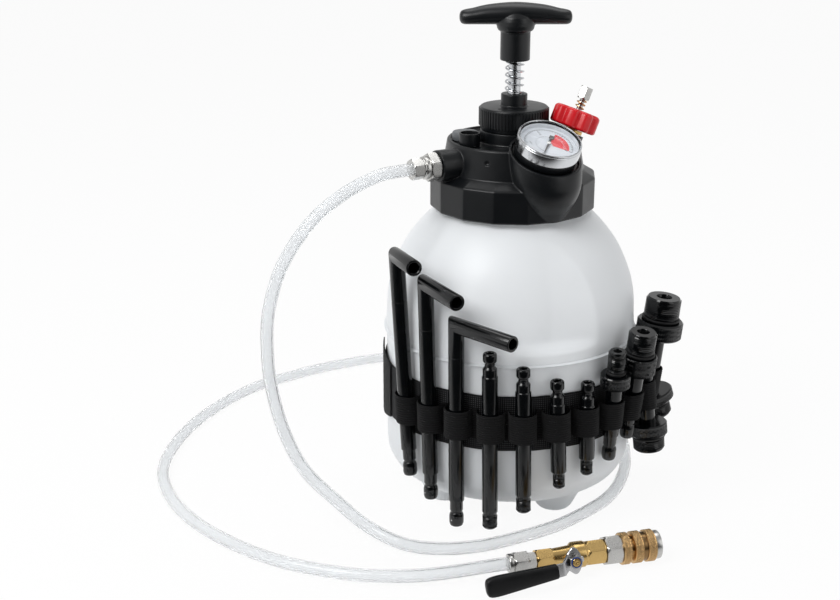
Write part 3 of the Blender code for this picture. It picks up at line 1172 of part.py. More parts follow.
# Belt strap
strap_inner = BOTTLE_RADIUS * max(a for a, b in BOTTLE_OUTLINE_SHARES) + GAP
strap_outer = strap_inner + STRAP_THICKNESS
belt_low = BELT_MIDDLE - BELT_WIDTH / 2
belt_high = BELT_MIDDLE + BELT_WIDTH / 2
loop_low = BELT_MIDDLE - LOOP_WIDTH / 2
loop_high = BELT_MIDDLE + LOOP_WIDTH / 2
put("belt_strap", turned("belt_strap", (
    (strap_inner, belt_low), (strap_outer, belt_low), (strap_outer, belt_high), (strap_inner, belt_high),
), BOTTLE_COLUMNS, ring_shaped=True, start=math.radians(FOOT_AZIMUTH)), BLACK_WEBBING, root)
# the strap's facets reach inwards, so what lies on it keeps clear of its corners
loop_floor = strap_outer + GAP


def shell_ring(azimuth, low, high, inner, outer):
    side = outward(azimuth)
    return [side * inner + Vector((0, 0, low)), side * outer + Vector((0, 0, low)),
            side * outer + Vector((0, 0, high)), side * inner + Vector((0, 0, high))]


fastener_span = FASTENER_END - FASTENER_START
put("belt_fastener", closed_mesh("belt_fastener", [
    shell_ring(FASTENER_START + fastener_span * step / FASTENER_STEPS, BELT_MIDDLE - FASTENER_HEIGHT / 2,
               BELT_MIDDLE + FASTENER_HEIGHT / 2, loop_floor, loop_floor + FASTENER_THICKNESS)
    for step in range(FASTENER_STEPS + 1)]), BLACK_WEBBING, root)


# Adapters
def adapter_stand(azimuth, lean, tilt, collar_height=0.0, collar_radius=0.0, end_height=0.0):
    """Where an adapter's axis crosses the belt's middle, and its direction."""
    side, along = outward(azimuth), outward(azimuth + 90)
    slope = math.tan(math.radians(lean))
    reach = loop_floor + TUBE_RADIUS + GAP + BELT_WIDTH / 2 * abs(slope)
    if collar_radius:
        needed = BOTTLE_RADIUS + COLLAR_TO_BOTTLE + collar_radius - collar_height * slope
        reach = max(reach, needed, BOTTLE_RADIUS + END_TO_BOTTLE + BALL_END_RADIUS * BALL_END_SHARES[0][0]
                    - end_height * slope)
    axis = (Vector((0, 0, 1)) + side * slope + along * math.tan(math.radians(tilt))).normalized()
    return side * reach + Vector((0, 0, BELT_MIDDLE)), axis, reach


def lower_end(foot):
    return [(BALL_END_RADIUS * wide, foot + BALL_END_LENGTH * high) for wide, high in BALL_END_SHARES]


def upper_nipple(top):
    foot = top - NIPPLE_LENGTH
    return [(NIPPLE_RADIUS * wide, foot + NIPPLE_LENGTH * high) for wide, high in NIPPLE_SHARES]


loops = []
for number, (azimuth, tilt, foot, corner, bearing, arm_length) in enumerate(ANGLED_ADAPTERS, 1):
    place, axis, reach = adapter_stand(azimuth, 0.0, tilt)
    loops.append((azimuth, 0.0, tilt, reach))
    foot, corner = foot * ADAPTER_REACH, corner * ADAPTER_REACH
    turn = turn_frame(axis, outward(azimuth))
    level = Vector((math.cos(math.radians(bearing)), math.sin(math.radians(bearing)), 0))
    level = (level - axis * level.dot(axis)).normalized()
    arm = turn.inverted() @ level
    up = Vector((0, 0, 1))
    cross = up.cross(arm).normalized()

    def pipe_ring(centre, direction, radius):
        other = direction.cross(cross)
        return [centre + cross * radius * math.cos(2 * math.pi * step / ARM_SIDES)
                + other * radius * math.sin(2 * math.pi * step / ARM_SIDES) for step in range(ARM_SIDES)]

    def mitre_ring(centre, radius):
        plane = (up + arm).normalized()
        return [point - up * ((point - centre).dot(plane) / up.dot(plane))
                for point in pipe_ring(centre, up, radius)]

    elbow = up * corner
    mouth = elbow + arm * arm_length
    rings = [pipe_ring(up * height, up, radius) for radius, height in lower_end(foot)]
    rings += [pipe_ring(up * (foot + BALL_END_LENGTH), up, TUBE_RADIUS), mitre_ring(elbow, TUBE_RADIUS)]
    rings += [pipe_ring(mouth, arm, TUBE_RADIUS), pipe_ring(mouth, arm, TUBE_BORE_RADIUS),
              mitre_ring(elbow, TUBE_BORE_RADIUS)]
    rings += [pipe_ring(up * (foot + BALL_END_LENGTH), up, TUBE_BORE_RADIUS),
              pipe_ring(up * (foot + BALL_END_LENGTH), up, NIPPLE_BORE_RADIUS),
              pipe_ring(up * foot, up, NIPPLE_BORE_RADIUS)]
    name = "adapter_angled_%d" % number
    put(name, closed_mesh(name, rings, ring_shaped=True), BLACK_STEEL, root, place, turn)

for number, (azimuth, tilt, foot, top) in enumerate(STRAIGHT_ADAPTERS, 1):
    place, axis, reach = adapter_stand(azimuth, 0.0, tilt)
    loops.append((azimuth, 0.0, tilt, reach))
    foot, top = foot * ADAPTER_REACH, top * ADAPTER_REACH
    outline = [(NIPPLE_BORE_RADIUS, foot)] + lower_end(foot)
    outline += [(TUBE_RADIUS, foot + BALL_END_LENGTH), (TUBE_RADIUS, top - NIPPLE_LENGTH - GAP)]
    outline += upper_nipple(top) + [(NIPPLE_BORE_RADIUS, top)]
    name = "adapter_straight_%d" % number
    put(name, turned(name, outline, ARM_SIDES, ring_shaped=True), BLACK_STEEL, root,
        place, turn_frame(axis, outward(azimuth)))

for number, entry in enumerate(THREADED_ADAPTERS, 1):
    azimuth, lean, tilt = entry[:3]
    plain, top, collar_start, collar_length = (share * ADAPTER_REACH for share in entry[3:7])
    thread_radius, collar_radius = entry[7:]
    sign = 1.0 if top > plain else -1.0
    place, axis, reach = adapter_stand(azimuth, lean, tilt, collar_start, collar_radius, plain)
    loops.append((azimuth, lean, tilt, reach))
    # measured upwards from the plain end; an adapter that hangs head down is turned over
    collar_foot, thread_top = sign * collar_start, sign * top
    foot = sign * plain
    collar_top = collar_foot + collar_length
    ring_height = SEAL_RING_SHARE * ADAPTER_REACH
    thread_foot = collar_top + ring_height + 2 * GAP
    bore = thread_radius * THREAD_BORE_SHARE
    edge = collar_radius * 0.06
    groove = thread_radius * 0.86
    outline = [(NIPPLE_BORE_RADIUS, foot)] + lower_end(foot) + [
        (TUBE_RADIUS, foot + BALL_END_LENGTH), (TUBE_RADIUS, collar_foot),
        (collar_radius - edge, collar_foot), (collar_radius, collar_foot + edge),
        (collar_radius, collar_top - edge), (collar_radius - edge, collar_top),
        (groove, collar_top), (groove, thread_foot), (thread_radius, thread_foot),
        (thread_radius, thread_top - edge * 1.5), (thread_radius - edge * 1.5, thread_top),
        (bore, thread_top),
        (bore, thread_top - THREAD_BORE_DEPTH), (NIPPLE_BORE_RADIUS, thread_top - THREAD_BORE_DEPTH)]
    turn = turn_frame(axis * sign, outward(azimuth))
    name = "adapter_threaded_%d" % number
    put(name, turned(name, outline, THREAD_SIDES, ring_shaped=True), BLACK_STEEL, root, place, turn)
    ring_out = min(collar_radius - edge, thread_radius + edge)
    put("adapter_seal_%d" % number, turned("adapter_seal_%d" % number, (
        (groove + GAP, collar_top + GAP), (ring_out, collar_top + GAP),
        (ring_out, collar_top + GAP + ring_height), (groove + GAP, collar_top + GAP + ring_height),
    ), THREAD_SIDES, ring_shaped=True), BLACK_RUBBER, root, place, turn)


# Belt loops: one band that rises over each adapter and is sewn to the strap between them
def loop_row(height):
    """Points of the band's inside at one height, each as an azimuth and a radius."""
    rise = height - BELT_MIDDLE
    centres = []
    for azimuth, lean, tilt, reach in loops:
        centre = reach + rise * math.tan(math.radians(lean))
        shift = math.degrees(rise * math.tan(math.radians(tilt)) / reach)
        centres.append((azimuth + shift, centre))
    stretch = TUBE_RADIUS + LOOP_CLEARANCE
    row = [(centres[0][0] - LOOP_PITCH_DEGREES * 0.6, loop_floor)]
    for index, (azimuth, centre) in enumerate(centres):
        if index:
            row.append(((azimuth + centres[index - 1][0]) / 2, loop_floor))
        for side, across, out in ((-1, 1.30, None), (-1, 1.12, 0.0), (-1, 0.82, 0.75), (0, 0.0, 1.06),
                                  (1, 0.82, 0.75), (1, 1.12, 0.0), (1, 1.30, None)):
            swing = math.degrees(side * across * stretch / centre)
            radius = loop_floor if out is None else max(loop_floor, centre + out * stretch)
            row.append((azimuth + swing, radius))
    row.append((centres[-1][0] + LOOP_PITCH_DEGREES * 0.6, loop_floor))
    return row


def band_mesh():
    low_row, high_row = loop_row(loop_low), loop_row(loop_high)
    rings = []
    for (low_azimuth, low_radius), (high_azimuth, high_radius) in zip(low_row, high_row):
        low_side, high_side = outward(low_azimuth), outward(high_azimuth)
        low, high = Vector((0, 0, loop_low)), Vector((0, 0, loop_high))
        rings.append([low_side * low_radius + low, low_side * (low_radius + LOOP_THICKNESS) + low,
                      high_side * (high_radius + LOOP_THICKNESS) + high, high_side * high_radius + high])
    return closed_mesh("belt_loops", rings)


put("belt_loops", band_mesh(), BLACK_WEBBING, root)


# The part's origin: the middle of the footprint of everything but the hose and what it carries
CORD_PIECES = ("hose", "outlet_nut", "outlet_fitting", "valve_", "lever_", "coupler_")


def footprint():
    bpy.context.view_layer.update()
    depsgraph = bpy.context.evaluated_depsgraph_get()
    low, high = Vector((1e9, 1e9, 1e9)), Vector((-1e9, -1e9, -1e9))
    for item in bpy.data.objects:
        if item.type != "MESH" or item.hide_render or item.name.startswith(CORD_PIECES):
            continue
        mesh = item.evaluated_get(depsgraph).data
        for vertex in mesh.vertices:
            point = item.matrix_world @ vertex.co
            low = Vector(min(a, b) for a, b in zip(low, point))
            high = Vector(max(a, b) for a, b in zip(high, point))
    return low, high


low, high = footprint()
root.location = (-(low.x + high.x) / 2, -(low.y + high.y) / 2, 0)
bpy.context.view_layer.update()
print("footprint low", [round(v, 4) for v in low], "high", [round(v, 4) for v in high])
for item in bpy.data.objects:
    if item.type == "EMPTY" or item.name.startswith("adapter_") and not item.hide_render:
        axis = item.matrix_world.to_3x3() @ Vector((0, 0, 1))
        place = item.matrix_world.translation
        print(item.name, [round(value, 5) for value in place], [round(value, 4) for value in axis])
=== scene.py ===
import json
import math
from types import SimpleNamespace

import bmesh
import bpy
from mathutils import Matrix, Vector

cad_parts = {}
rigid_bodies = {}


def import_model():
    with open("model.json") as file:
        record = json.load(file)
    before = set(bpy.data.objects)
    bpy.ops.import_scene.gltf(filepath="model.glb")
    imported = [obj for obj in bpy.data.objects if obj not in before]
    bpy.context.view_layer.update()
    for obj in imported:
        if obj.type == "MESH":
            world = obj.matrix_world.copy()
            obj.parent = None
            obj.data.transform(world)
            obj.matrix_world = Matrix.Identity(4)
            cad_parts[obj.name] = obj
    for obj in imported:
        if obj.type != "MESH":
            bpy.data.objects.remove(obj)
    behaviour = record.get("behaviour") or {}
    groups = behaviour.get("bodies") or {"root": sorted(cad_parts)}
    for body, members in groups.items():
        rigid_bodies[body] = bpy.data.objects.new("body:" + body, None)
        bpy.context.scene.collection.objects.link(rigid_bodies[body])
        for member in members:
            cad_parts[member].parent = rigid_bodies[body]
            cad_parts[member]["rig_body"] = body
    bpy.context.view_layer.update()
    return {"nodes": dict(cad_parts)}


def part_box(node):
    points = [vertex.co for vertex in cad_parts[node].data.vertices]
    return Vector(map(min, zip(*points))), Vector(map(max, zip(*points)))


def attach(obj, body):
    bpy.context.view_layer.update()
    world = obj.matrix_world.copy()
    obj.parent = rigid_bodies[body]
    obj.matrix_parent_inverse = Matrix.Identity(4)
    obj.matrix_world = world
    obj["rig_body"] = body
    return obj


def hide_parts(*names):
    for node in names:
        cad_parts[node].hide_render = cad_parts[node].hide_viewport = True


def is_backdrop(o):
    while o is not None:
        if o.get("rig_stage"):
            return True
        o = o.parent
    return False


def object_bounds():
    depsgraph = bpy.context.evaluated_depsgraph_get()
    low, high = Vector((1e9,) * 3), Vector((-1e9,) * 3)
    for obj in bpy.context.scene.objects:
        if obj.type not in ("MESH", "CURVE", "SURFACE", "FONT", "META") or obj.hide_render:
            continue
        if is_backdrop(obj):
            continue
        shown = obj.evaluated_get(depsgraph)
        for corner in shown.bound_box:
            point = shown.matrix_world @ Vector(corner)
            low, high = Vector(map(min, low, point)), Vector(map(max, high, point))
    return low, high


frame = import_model()
print("frame loaded")

stageSet = bpy.context.scene
# the bottle's axis is the pump rod's axis; everything below is measured from there
rodLow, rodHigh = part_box("pump_rod")
home = Matrix.Translation(((rodLow.x + rodHigh.x) / 2, (rodLow.y + rodHigh.y) / 2, 0))


def placed(name, data):
    holder = bpy.data.objects.new(name, data)
    stageSet.collection.objects.link(holder)
    return holder


# camera, at the photograph's angle
cameraSizes = SimpleNamespace(
    place=(-0.0747, -1.1531, 0.553), pitch=18.8, focal=1467.0, width=840.0, sensor=36.0)
lens = bpy.data.cameras.new("photoCamera")
lens.sensor_fit = "HORIZONTAL"
lens.sensor_width = cameraSizes.sensor
lens.lens = cameraSizes.focal * cameraSizes.sensor / cameraSizes.width
lens.clip_start = 0.05
lens.clip_end = 30.0
camera = placed("photoCamera", lens)
camera.location = home @ Vector(cameraSizes.place)
camera.rotation_euler = (math.radians(90 - cameraSizes.pitch), 0, 0)
stageSet.camera = camera


# small helpers for places and directions
def outward(azimuth, radius=1.0):
    angle = math.radians(azimuth)
    return Vector((radius * math.sin(angle), -radius * math.cos(angle), 0))


def leanTo(azimuth, tilt):
    bearing = Matrix.Rotation(math.radians(azimuth), 3, "Z")
    return bearing @ Matrix.Rotation(math.radians(tilt), 3, "X")


def squareTo(axis, facing):
    up = Vector(axis).normalized()
    side = Vector(facing).cross(up).normalized() * -1.0
    return Matrix((side, up.cross(side), up)).transposed()


def beamTo(axis, beam):
    up = Vector(axis).normalized()
    side = (Vector(beam) - up * up.dot(Vector(beam))).normalized()
    return Matrix((side, up.cross(side), up)).transposed()


def seatAt(place=(0, 0, 0), turn=None):
    here = Matrix.Translation(Vector(place))
    return home @ (here @ turn.to_4x4() if turn is not None else here)


def easeIn(value):
    held = min(1.0, max(0.0, value))
    return held * held * (3 - 2 * held)


def bodyOf(node):
    return frame["nodes"][node]["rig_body"]


def settled(holder, *helpers):
    # plain mesh of what the holder's modifiers make; the holder and its helpers go
    bpy.context.view_layer.update()
    mesh = bpy.data.meshes.new_from_object(holder.evaluated_get(bpy.context.evaluated_depsgraph_get()))
    for item in (holder, *helpers):
        bpy.data.objects.remove(item)
    return mesh


def meshFrom(name, bm, seat=None):
    bmesh.ops.recalc_face_normals(bm, faces=bm.faces)
    mesh = bpy.data.meshes.new(name)
    bm.to_mesh(mesh)
    bm.free()
    if seat is not None:
        mesh.transform(seat)
    return mesh


def loftMesh(name, rows, seat=None):
    # skin over rings of points, closed at both ends
    bm = bmesh.new()
    rings = [[bm.verts.new(point) for point in row] for row in rows]
    for lower, upper in zip(rings[:-1], rings[1:]):
        for k in range(len(lower)):
            after = (k + 1) % len(lower)
            bm.faces.new((lower[k], lower[after], upper[after], upper[k]))
    bm.faces.new(rings[0])
    bm.faces.new(rings[-1])
    return meshFrom(name, bm, seat)


# node trees: an input is a label, a kind of socket and a value, an output a label and a kind
def newTree(name, kind, inputs, outputs):
    tree = bpy.data.node_groups.new(name, kind)
    for label, socketKind, value in inputs:
        socket = tree.interface.new_socket(label, in_out="INPUT", socket_type="NodeSocket" + socketKind)
        if value is not None:
            socket.default_value = value
    for label, socketKind in outputs:
        tree.interface.new_socket(label, in_out="OUTPUT", socket_type="NodeSocket" + socketKind)
    return tree, tree.nodes.new("NodeGroupInput"), tree.nodes.new("NodeGroupOutput")


def wireUp(tree, *wires):
    for source, outlet, target, inlet in wires:
        tree.links.new(source.outputs[outlet], target.inputs[inlet])


def addNode(tree, kind, links=(), **values):
    node = tree.nodes.new(kind)
    for key, value in values.items():
        if key.startswith("set_"):
            setattr(node, key[4:], value)
    for key, value in values.items():
        if not key.startswith("set_"):
            node.inputs[int(key[1:]) if key[1:].isdigit() else key].default_value = value
    for source, target in links:
        tree.links.new(source, node.inputs[target])
    return node


def mathNode(tree, operation, first, second=None, clamp=False):
    node = tree.nodes.new("ShaderNodeMath")
    node.operation = operation
    node.use_clamp = clamp
    for index, value in enumerate((first, second)):
        if value is None:
            continue
        if isinstance(value, (int, float)):
            node.inputs[index].default_value = value
        else:
            tree.links.new(value, node.inputs[index])
    return node.outputs[0]


def makeMouldedGroup():
    group, given, result = newTree(
        "mouldedSkin", "ShaderNodeTree",
        [("Position", "Vector", None), ("Grain Size", "Float", 0.0006), ("Patch Size", "Float", 0.02),
         ("Rub Amount", "Float", 0.3)],
        [("Height", "Float"), ("Tone", "Float"), ("Rub", "Float")])
    grainScale = mathNode(group, "DIVIDE", 1.0, given.outputs["Grain Size"])
    patchScale = mathNode(group, "DIVIDE", 1.0, given.outputs["Patch Size"])
    grain = addNode(group, "ShaderNodeTexNoise", [(given.outputs["Position"], "Vector"), (grainScale, "Scale")],
                    Detail=3.0, Roughness=0.6)
    patch = addNode(group, "ShaderNodeTexNoise", [(given.outputs["Position"], "Vector"), (patchScale, "Scale")],
                    Detail=4.0, Roughness=0.55)
    stretch = addNode(group, "ShaderNodeMapping", [(given.outputs["Position"], "Vector")],
                      Rotation=(0.4, 0.9, 0.3), Scale=(1.0, 14.0, 3.0))
    streak = addNode(group, "ShaderNodeTexNoise", [(stretch.outputs[0], "Vector"), (patchScale, "Scale")],
                     Detail=5.0, Roughness=0.7)
    edge = addNode(group, "ShaderNodeMapRange", [(streak.outputs["Fac"], "Value")],
                   **{"From Min": 0.60, "From Max": 0.74})
    rub = mathNode(group, "MULTIPLY", edge.outputs["Result"], given.outputs["Rub Amount"], True)
    wireUp(group, (grain, "Fac", result, "Height"), (patch, "Fac", result, "Tone"))
    group.links.new(rub, result.inputs["Rub"])
    return group


def makeTurnedGroup():
    # fine tool rings round a turned piece, read from its own map: across it, then along it, in metres
    group, given, result = newTree(
        "turnedRings", "ShaderNodeTree",
        [("Map", "Vector", None), ("Ring Pitch", "Float", 0.0003), ("Stain Size", "Float", 0.006)],
        [("Height", "Float"), ("Tone", "Float"), ("Stain", "Float")])
    ringScale = mathNode(group, "DIVIDE", 1.0, given.outputs["Ring Pitch"])
    stainScale = mathNode(group, "DIVIDE", 1.0, given.outputs["Stain Size"])
    squeeze = addNode(group, "ShaderNodeMapping", [(given.outputs["Map"], "Vector")], Scale=(0.04, 1.0, 1.0))
    rings = addNode(group, "ShaderNodeTexNoise", [(squeeze.outputs[0], "Vector"), (ringScale, "Scale")],
                    Detail=2.0, Roughness=0.6)
    stain = addNode(group, "ShaderNodeTexNoise", [(given.outputs["Map"], "Vector"), (stainScale, "Scale")],
                    Detail=5.0, Roughness=0.62)
    spots = addNode(group, "ShaderNodeMapRange", [(stain.outputs["Fac"], "Value")],
                    **{"From Min": 0.52, "From Max": 0.72})
    wireUp(group, (rings, "Fac", result, "Height"), (stain, "Fac", result, "Tone"), (spots, "Result", result, "Stain"))
    return group


def makeWeaveGroup():
    # plain weave over the piece's own map, in metres
    group, given, result = newTree(
        "plainWeave", "ShaderNodeTree",
        [("Map", "Vector", None), ("Warp Pitch", "Float", 0.0011), ("Weft Pitch", "Float", 0.0016)],
        [("Height", "Float"), ("Thread", "Float"), ("Fuzz", "Float")])
    split = addNode(group, "ShaderNodeSeparateXYZ", [(given.outputs["Map"], "Vector")])
    turnsX = mathNode(group, "DIVIDE", split.outputs[0], given.outputs["Warp Pitch"])
    turnsY = mathNode(group, "DIVIDE", split.outputs[1], given.outputs["Weft Pitch"])
    waveX = mathNode(group, "SINE", mathNode(group, "MULTIPLY", turnsX, 2 * math.pi))
    waveY = mathNode(group, "SINE", mathNode(group, "MULTIPLY", turnsY, 2 * math.pi))
    over = mathNode(group, "MULTIPLY", waveX, waveY)
    warp = mathNode(group, "ABSOLUTE", mathNode(group, "SINE", mathNode(group, "MULTIPLY", turnsX, math.pi)))
    weft = mathNode(group, "ABSOLUTE", mathNode(group, "SINE", mathNode(group, "MULTIPLY", turnsY, math.pi)))
    high = mathNode(group, "MAXIMUM", mathNode(group, "MULTIPLY", warp, 0.8), weft)
    height = mathNode(group, "ADD", mathNode(group, "MULTIPLY", over, 0.35), high)
    fuzz = addNode(group, "ShaderNodeTexNoise", [(given.outputs["Map"], "Vector")], Scale=2600.0, Detail=2.0)
    group.links.new(height, result.inputs["Height"])
    group.links.new(mathNode(group, "MULTIPLY", warp, weft), result.inputs["Thread"])
    group.links.new(fuzz.outputs["Fac"], result.inputs["Fuzz"])
    return group


mouldedSkin = makeMouldedGroup()
turnedRings = makeTurnedGroup()
plainWeave = makeWeaveGroup()


# finishes: colour, colour it varies to, colour of worn or stained spots (on the knurled coupler also of its darker
# groove bottoms), roughness range, relief's strength and depth, the sizes of the pattern, and what the shader's own
# sockets hold
mouldedColumns = ("colour", "other", "spots", "rough", "bump", "grain", "patch", "rub")
turnedColumns = ("colour", "other", "spots", "rough", "bump", "pitch", "stain")
finishRecipes = {
    "milkyPlastic": ((0.80, 0.825, 0.845), (0.775, 0.80, 0.825), (0.90, 0.91, 0.92), (0.34, 0.42), (0.04, 0.0002),
        0.0016, 0.05, 0.03, {"Subsurface Weight": 0.12, "Subsurface Scale": 0.008,
        "Subsurface Radius": (0.9, 0.95, 1.0), "Specular IOR Level": 0.38}),
    "blackPlastic": ((0.0036, 0.0044, 0.0054), (0.0052, 0.0062, 0.0074), (0.013, 0.015, 0.017), (0.30, 0.38),
        (0.10, 0.00010), 0.0005, 0.018, 0.10, {"Specular IOR Level": 0.34}),
    "handlePlastic": ((0.0032, 0.0040, 0.0050), (0.0046, 0.0056, 0.0068), (0.012, 0.014, 0.016), (0.30, 0.40),
        (0.10, 0.0001), 0.0006, 0.015, 0.08, {"Specular IOR Level": 0.42}),
    "greyPlastic": ((0.125, 0.132, 0.140), (0.105, 0.112, 0.120), (0.18, 0.18, 0.19), (0.4, 0.52), (0.10, 0.0001),
        0.0006, 0.01, 0.1, {}),
    "redPlastic": ((0.66, 0.007, 0.014), (0.60, 0.006, 0.012), (0.72, 0.05, 0.05), (0.26, 0.34), (0.06, 0.0001),
        0.0008, 0.012, 0.05, {"Subsurface Weight": 0.08, "Subsurface Scale": 0.002, "Specular IOR Level": 0.5}),
    "clearPlastic": ((0.85, 0.88, 0.90), (0.80, 0.84, 0.86), (0.9, 0.9, 0.9), (0.12, 0.2), (0.05, 0.0001), 0.001,
        0.01, 0.1, {"Transmission Weight": 0.6}),
    "rubber": ((0.0035, 0.0036, 0.0040), (0.0055, 0.0056, 0.0060), (0.02, 0.02, 0.02), (0.50, 0.62), (0.15, 0.0001),
        0.0004, 0.01, 0.1, {"Specular IOR Level": 0.35}),
    "gripRubber": ((0.0030, 0.0033, 0.0038), (0.0044, 0.0048, 0.0054), (0.010, 0.0105, 0.011), (0.34, 0.46),
        (0.12, 0.0001), 0.0006, 0.012, 0.10, {"Specular IOR Level": 0.3}),
    "dialWhite": ((0.60, 0.63, 0.67), (0.57, 0.60, 0.64), (0.66, 0.68, 0.70), (0.38, 0.46), (0.03, 0.00005), 0.0005,
        0.01, 0.1, {}),
    "dialBlack": ((0.008, 0.008, 0.009), (0.012, 0.012, 0.012), (0.05, 0.05, 0.05), (0.4, 0.5), (0.03, 0.00005),
        0.0005, 0.004, 0.1, {}),
    "dialGrey": ((0.085, 0.095, 0.115), (0.105, 0.115, 0.135), (0.15, 0.15, 0.16), (0.4, 0.5), (0.03, 0.00005),
        0.0005, 0.004, 0.1, {}),
    "dialRed": ((0.70, 0.02, 0.03), (0.62, 0.015, 0.025), (0.8, 0.2, 0.2), (0.4, 0.5), (0.03, 0.00005), 0.0005, 0.004,
        0.1, {}),
    "nylonBlue": ((0.01, 0.05, 0.28), (0.01, 0.04, 0.20), (0.1, 0.15, 0.4), (0.4, 0.5), (0.1, 0.00005), 0.0005, 0.004,
        0.2, {}),
}
turnedRecipes = {
    "chrome": ((0.66, 0.675, 0.695), (0.61, 0.625, 0.645), (0.50, 0.51, 0.53), (0.14, 0.20), (0.02, 0.00001), 0.0004,
        0.02, {"Metallic": 1.0}),
    "nickel": ((0.58, 0.575, 0.56), (0.52, 0.515, 0.50), (0.38, 0.37, 0.35), (0.24, 0.32), (0.03, 0.00001), 0.0003,
        0.006, {"Metallic": 1.0}),
    "brass": ((0.68, 0.47, 0.19), (0.60, 0.40, 0.15), (0.36, 0.22, 0.08), (0.20, 0.30), (0.12, 0.00004), 0.0004,
        0.008, {"Metallic": 1.0}),
    "couplerBrass": ((0.70, 0.47, 0.23), (0.62, 0.40, 0.18), (0.14, 0.075, 0.03), (0.20, 0.30), (0.10, 0.00004),
        0.0004, 0.006, {"hollow": (0.40, 0.50), "Metallic": 1.0}),
    "plainSteel": ((0.68, 0.68, 0.69), (0.61, 0.61, 0.62), (0.42, 0.42, 0.42), (0.16, 0.26), (0.08, 0.00003), 0.0003,
        0.008, {"Metallic": 1.0}),
    "blackSteel": ((0.0012, 0.0016, 0.0020), (0.0022, 0.0027, 0.0033), (0.007, 0.0078, 0.009), (0.12, 0.20),
        (0.05, 0.00003), 0.0006, 0.010, {"Specular IOR Level": 0.5}),
}


def shaderOf(finish):
    return finish.node_tree.nodes["Principled BSDF"]


def plainSockets(shader, recipe):
    for key, value in recipe.items():
        if key[0].isupper():
            shader.inputs[key].default_value = value


def dressShader(tree, shader, recipe, tone, mask, height):
    colourMix = addNode(tree, "ShaderNodeMix", [(tone, 0)], set_data_type="RGBA",
                        _6=(*recipe["colour"], 1.0), _7=(*recipe["other"], 1.0))
    rubMix = addNode(tree, "ShaderNodeMix", [(mask, 0), (colourMix.outputs[2], 6)], set_data_type="RGBA",
                     _7=(*recipe["spots"], 1.0))
    sheen = addNode(tree, "ShaderNodeMapRange", [(tone, "Value")],
                    **{"From Min": 0.3, "From Max": 0.7, "To Min": recipe["rough"][0], "To Max": recipe["rough"][1]})
    relief = addNode(tree, "ShaderNodeBump", [(height, "Height")], Strength=recipe["bump"][0],
                     Distance=recipe["bump"][1])
    tree.links.new(rubMix.outputs[2], shader.inputs["Base Color"])
    wireUp(tree, (sheen, "Result", shader, "Roughness"), (relief, "Normal", shader, "Normal"))
    plainSockets(shader, recipe)


def startFinish(name, group, outlet, inlet, values):
    # a material with one group that reads the piece's map or its own coordinates
    made = bpy.data.materials.new(name)
    made.use_nodes = True
    tree = made.node_tree
    where = tree.nodes.new("ShaderNodeTexCoord")
    return made, tree, addNode(tree, "ShaderNodeGroup", [(where.outputs[outlet], inlet)], set_node_tree=group,
                               **values)


def mouldedFinish(name, recipe, outlet="Object"):
    made, tree, skin = startFinish(name, mouldedSkin, outlet, "Position", {
        "Grain Size": recipe["grain"], "Patch Size": recipe["patch"], "Rub Amount": recipe["rub"]})
    dressShader(tree, shaderOf(made), recipe, skin.outputs["Tone"], skin.outputs["Rub"],
                skin.outputs["Height"])
    return made


stainShare = 0.12


def turnedFinish(name, recipe):
    made, tree, rings = startFinish(name, turnedRings, "UV", "Map", {
        "Ring Pitch": recipe["pitch"], "Stain Size": recipe["stain"]})
    mask = mathNode(tree, "MULTIPLY", rings.outputs["Stain"], stainShare)
    if "hollow" in recipe:
        # the colour goes darker, towards the spots colour, in the bottoms of a knurl's grooves
        shape = tree.nodes.new("ShaderNodeNewGeometry")
        hollow = addNode(tree, "ShaderNodeMapRange", [(shape.outputs["Pointiness"], "Value")],
                         **{"From Min": recipe["hollow"][0], "From Max": recipe["hollow"][1], "To Min": 1.0,
                            "To Max": 0.0})
        mask = mathNode(tree, "MAXIMUM", mask, hollow.outputs["Result"])
    dressShader(tree, shaderOf(made), recipe, rings.outputs["Tone"], mask, rings.outputs["Height"])
    return made


def named(columns, values):
    return {**dict(zip(columns, values)), **values[-1]}


finishes = {name: mouldedFinish(name, named(mouldedColumns, values)) for name, values in finishRecipes.items()}
finishes.update({name: turnedFinish(name, named(turnedColumns, values)) for name, values in turnedRecipes.items()})


def webbingFinish(name, warp, weft, colour, lit):
    made, tree, weave = startFinish(name, plainWeave, "UV", "Map", {"Warp Pitch": warp, "Weft Pitch": weft})
    shader = shaderOf(made)
    threadLight = addNode(tree, "ShaderNodeMapRange", [(weave.outputs["Thread"], "Value")],
                          **{"From Min": 0.55, "From Max": 1.0})
    colourMix = addNode(tree, "ShaderNodeMix", [(threadLight.outputs["Result"], 0)], set_data_type="RGBA",
                        _6=(*colour, 1.0), _7=(*lit, 1.0))
    fuzzRough = addNode(tree, "ShaderNodeMapRange", [(weave.outputs["Fuzz"], "Value")],
                        **{"To Min": 0.62, "To Max": 0.95})
    relief = addNode(tree, "ShaderNodeBump", [(weave.outputs["Height"], "Height")], Strength=0.6, Distance=0.00025)
    tree.links.new(colourMix.outputs[2], shader.inputs["Base Color"])
    wireUp(tree, (fuzzRough, "Result", shader, "Roughness"), (relief, "Normal", shader, "Normal"))
    plainSockets(shader, {"Sheen Weight": 0.04, "Sheen Roughness": 0.5, "Specular IOR Level": 0.2})
    return made


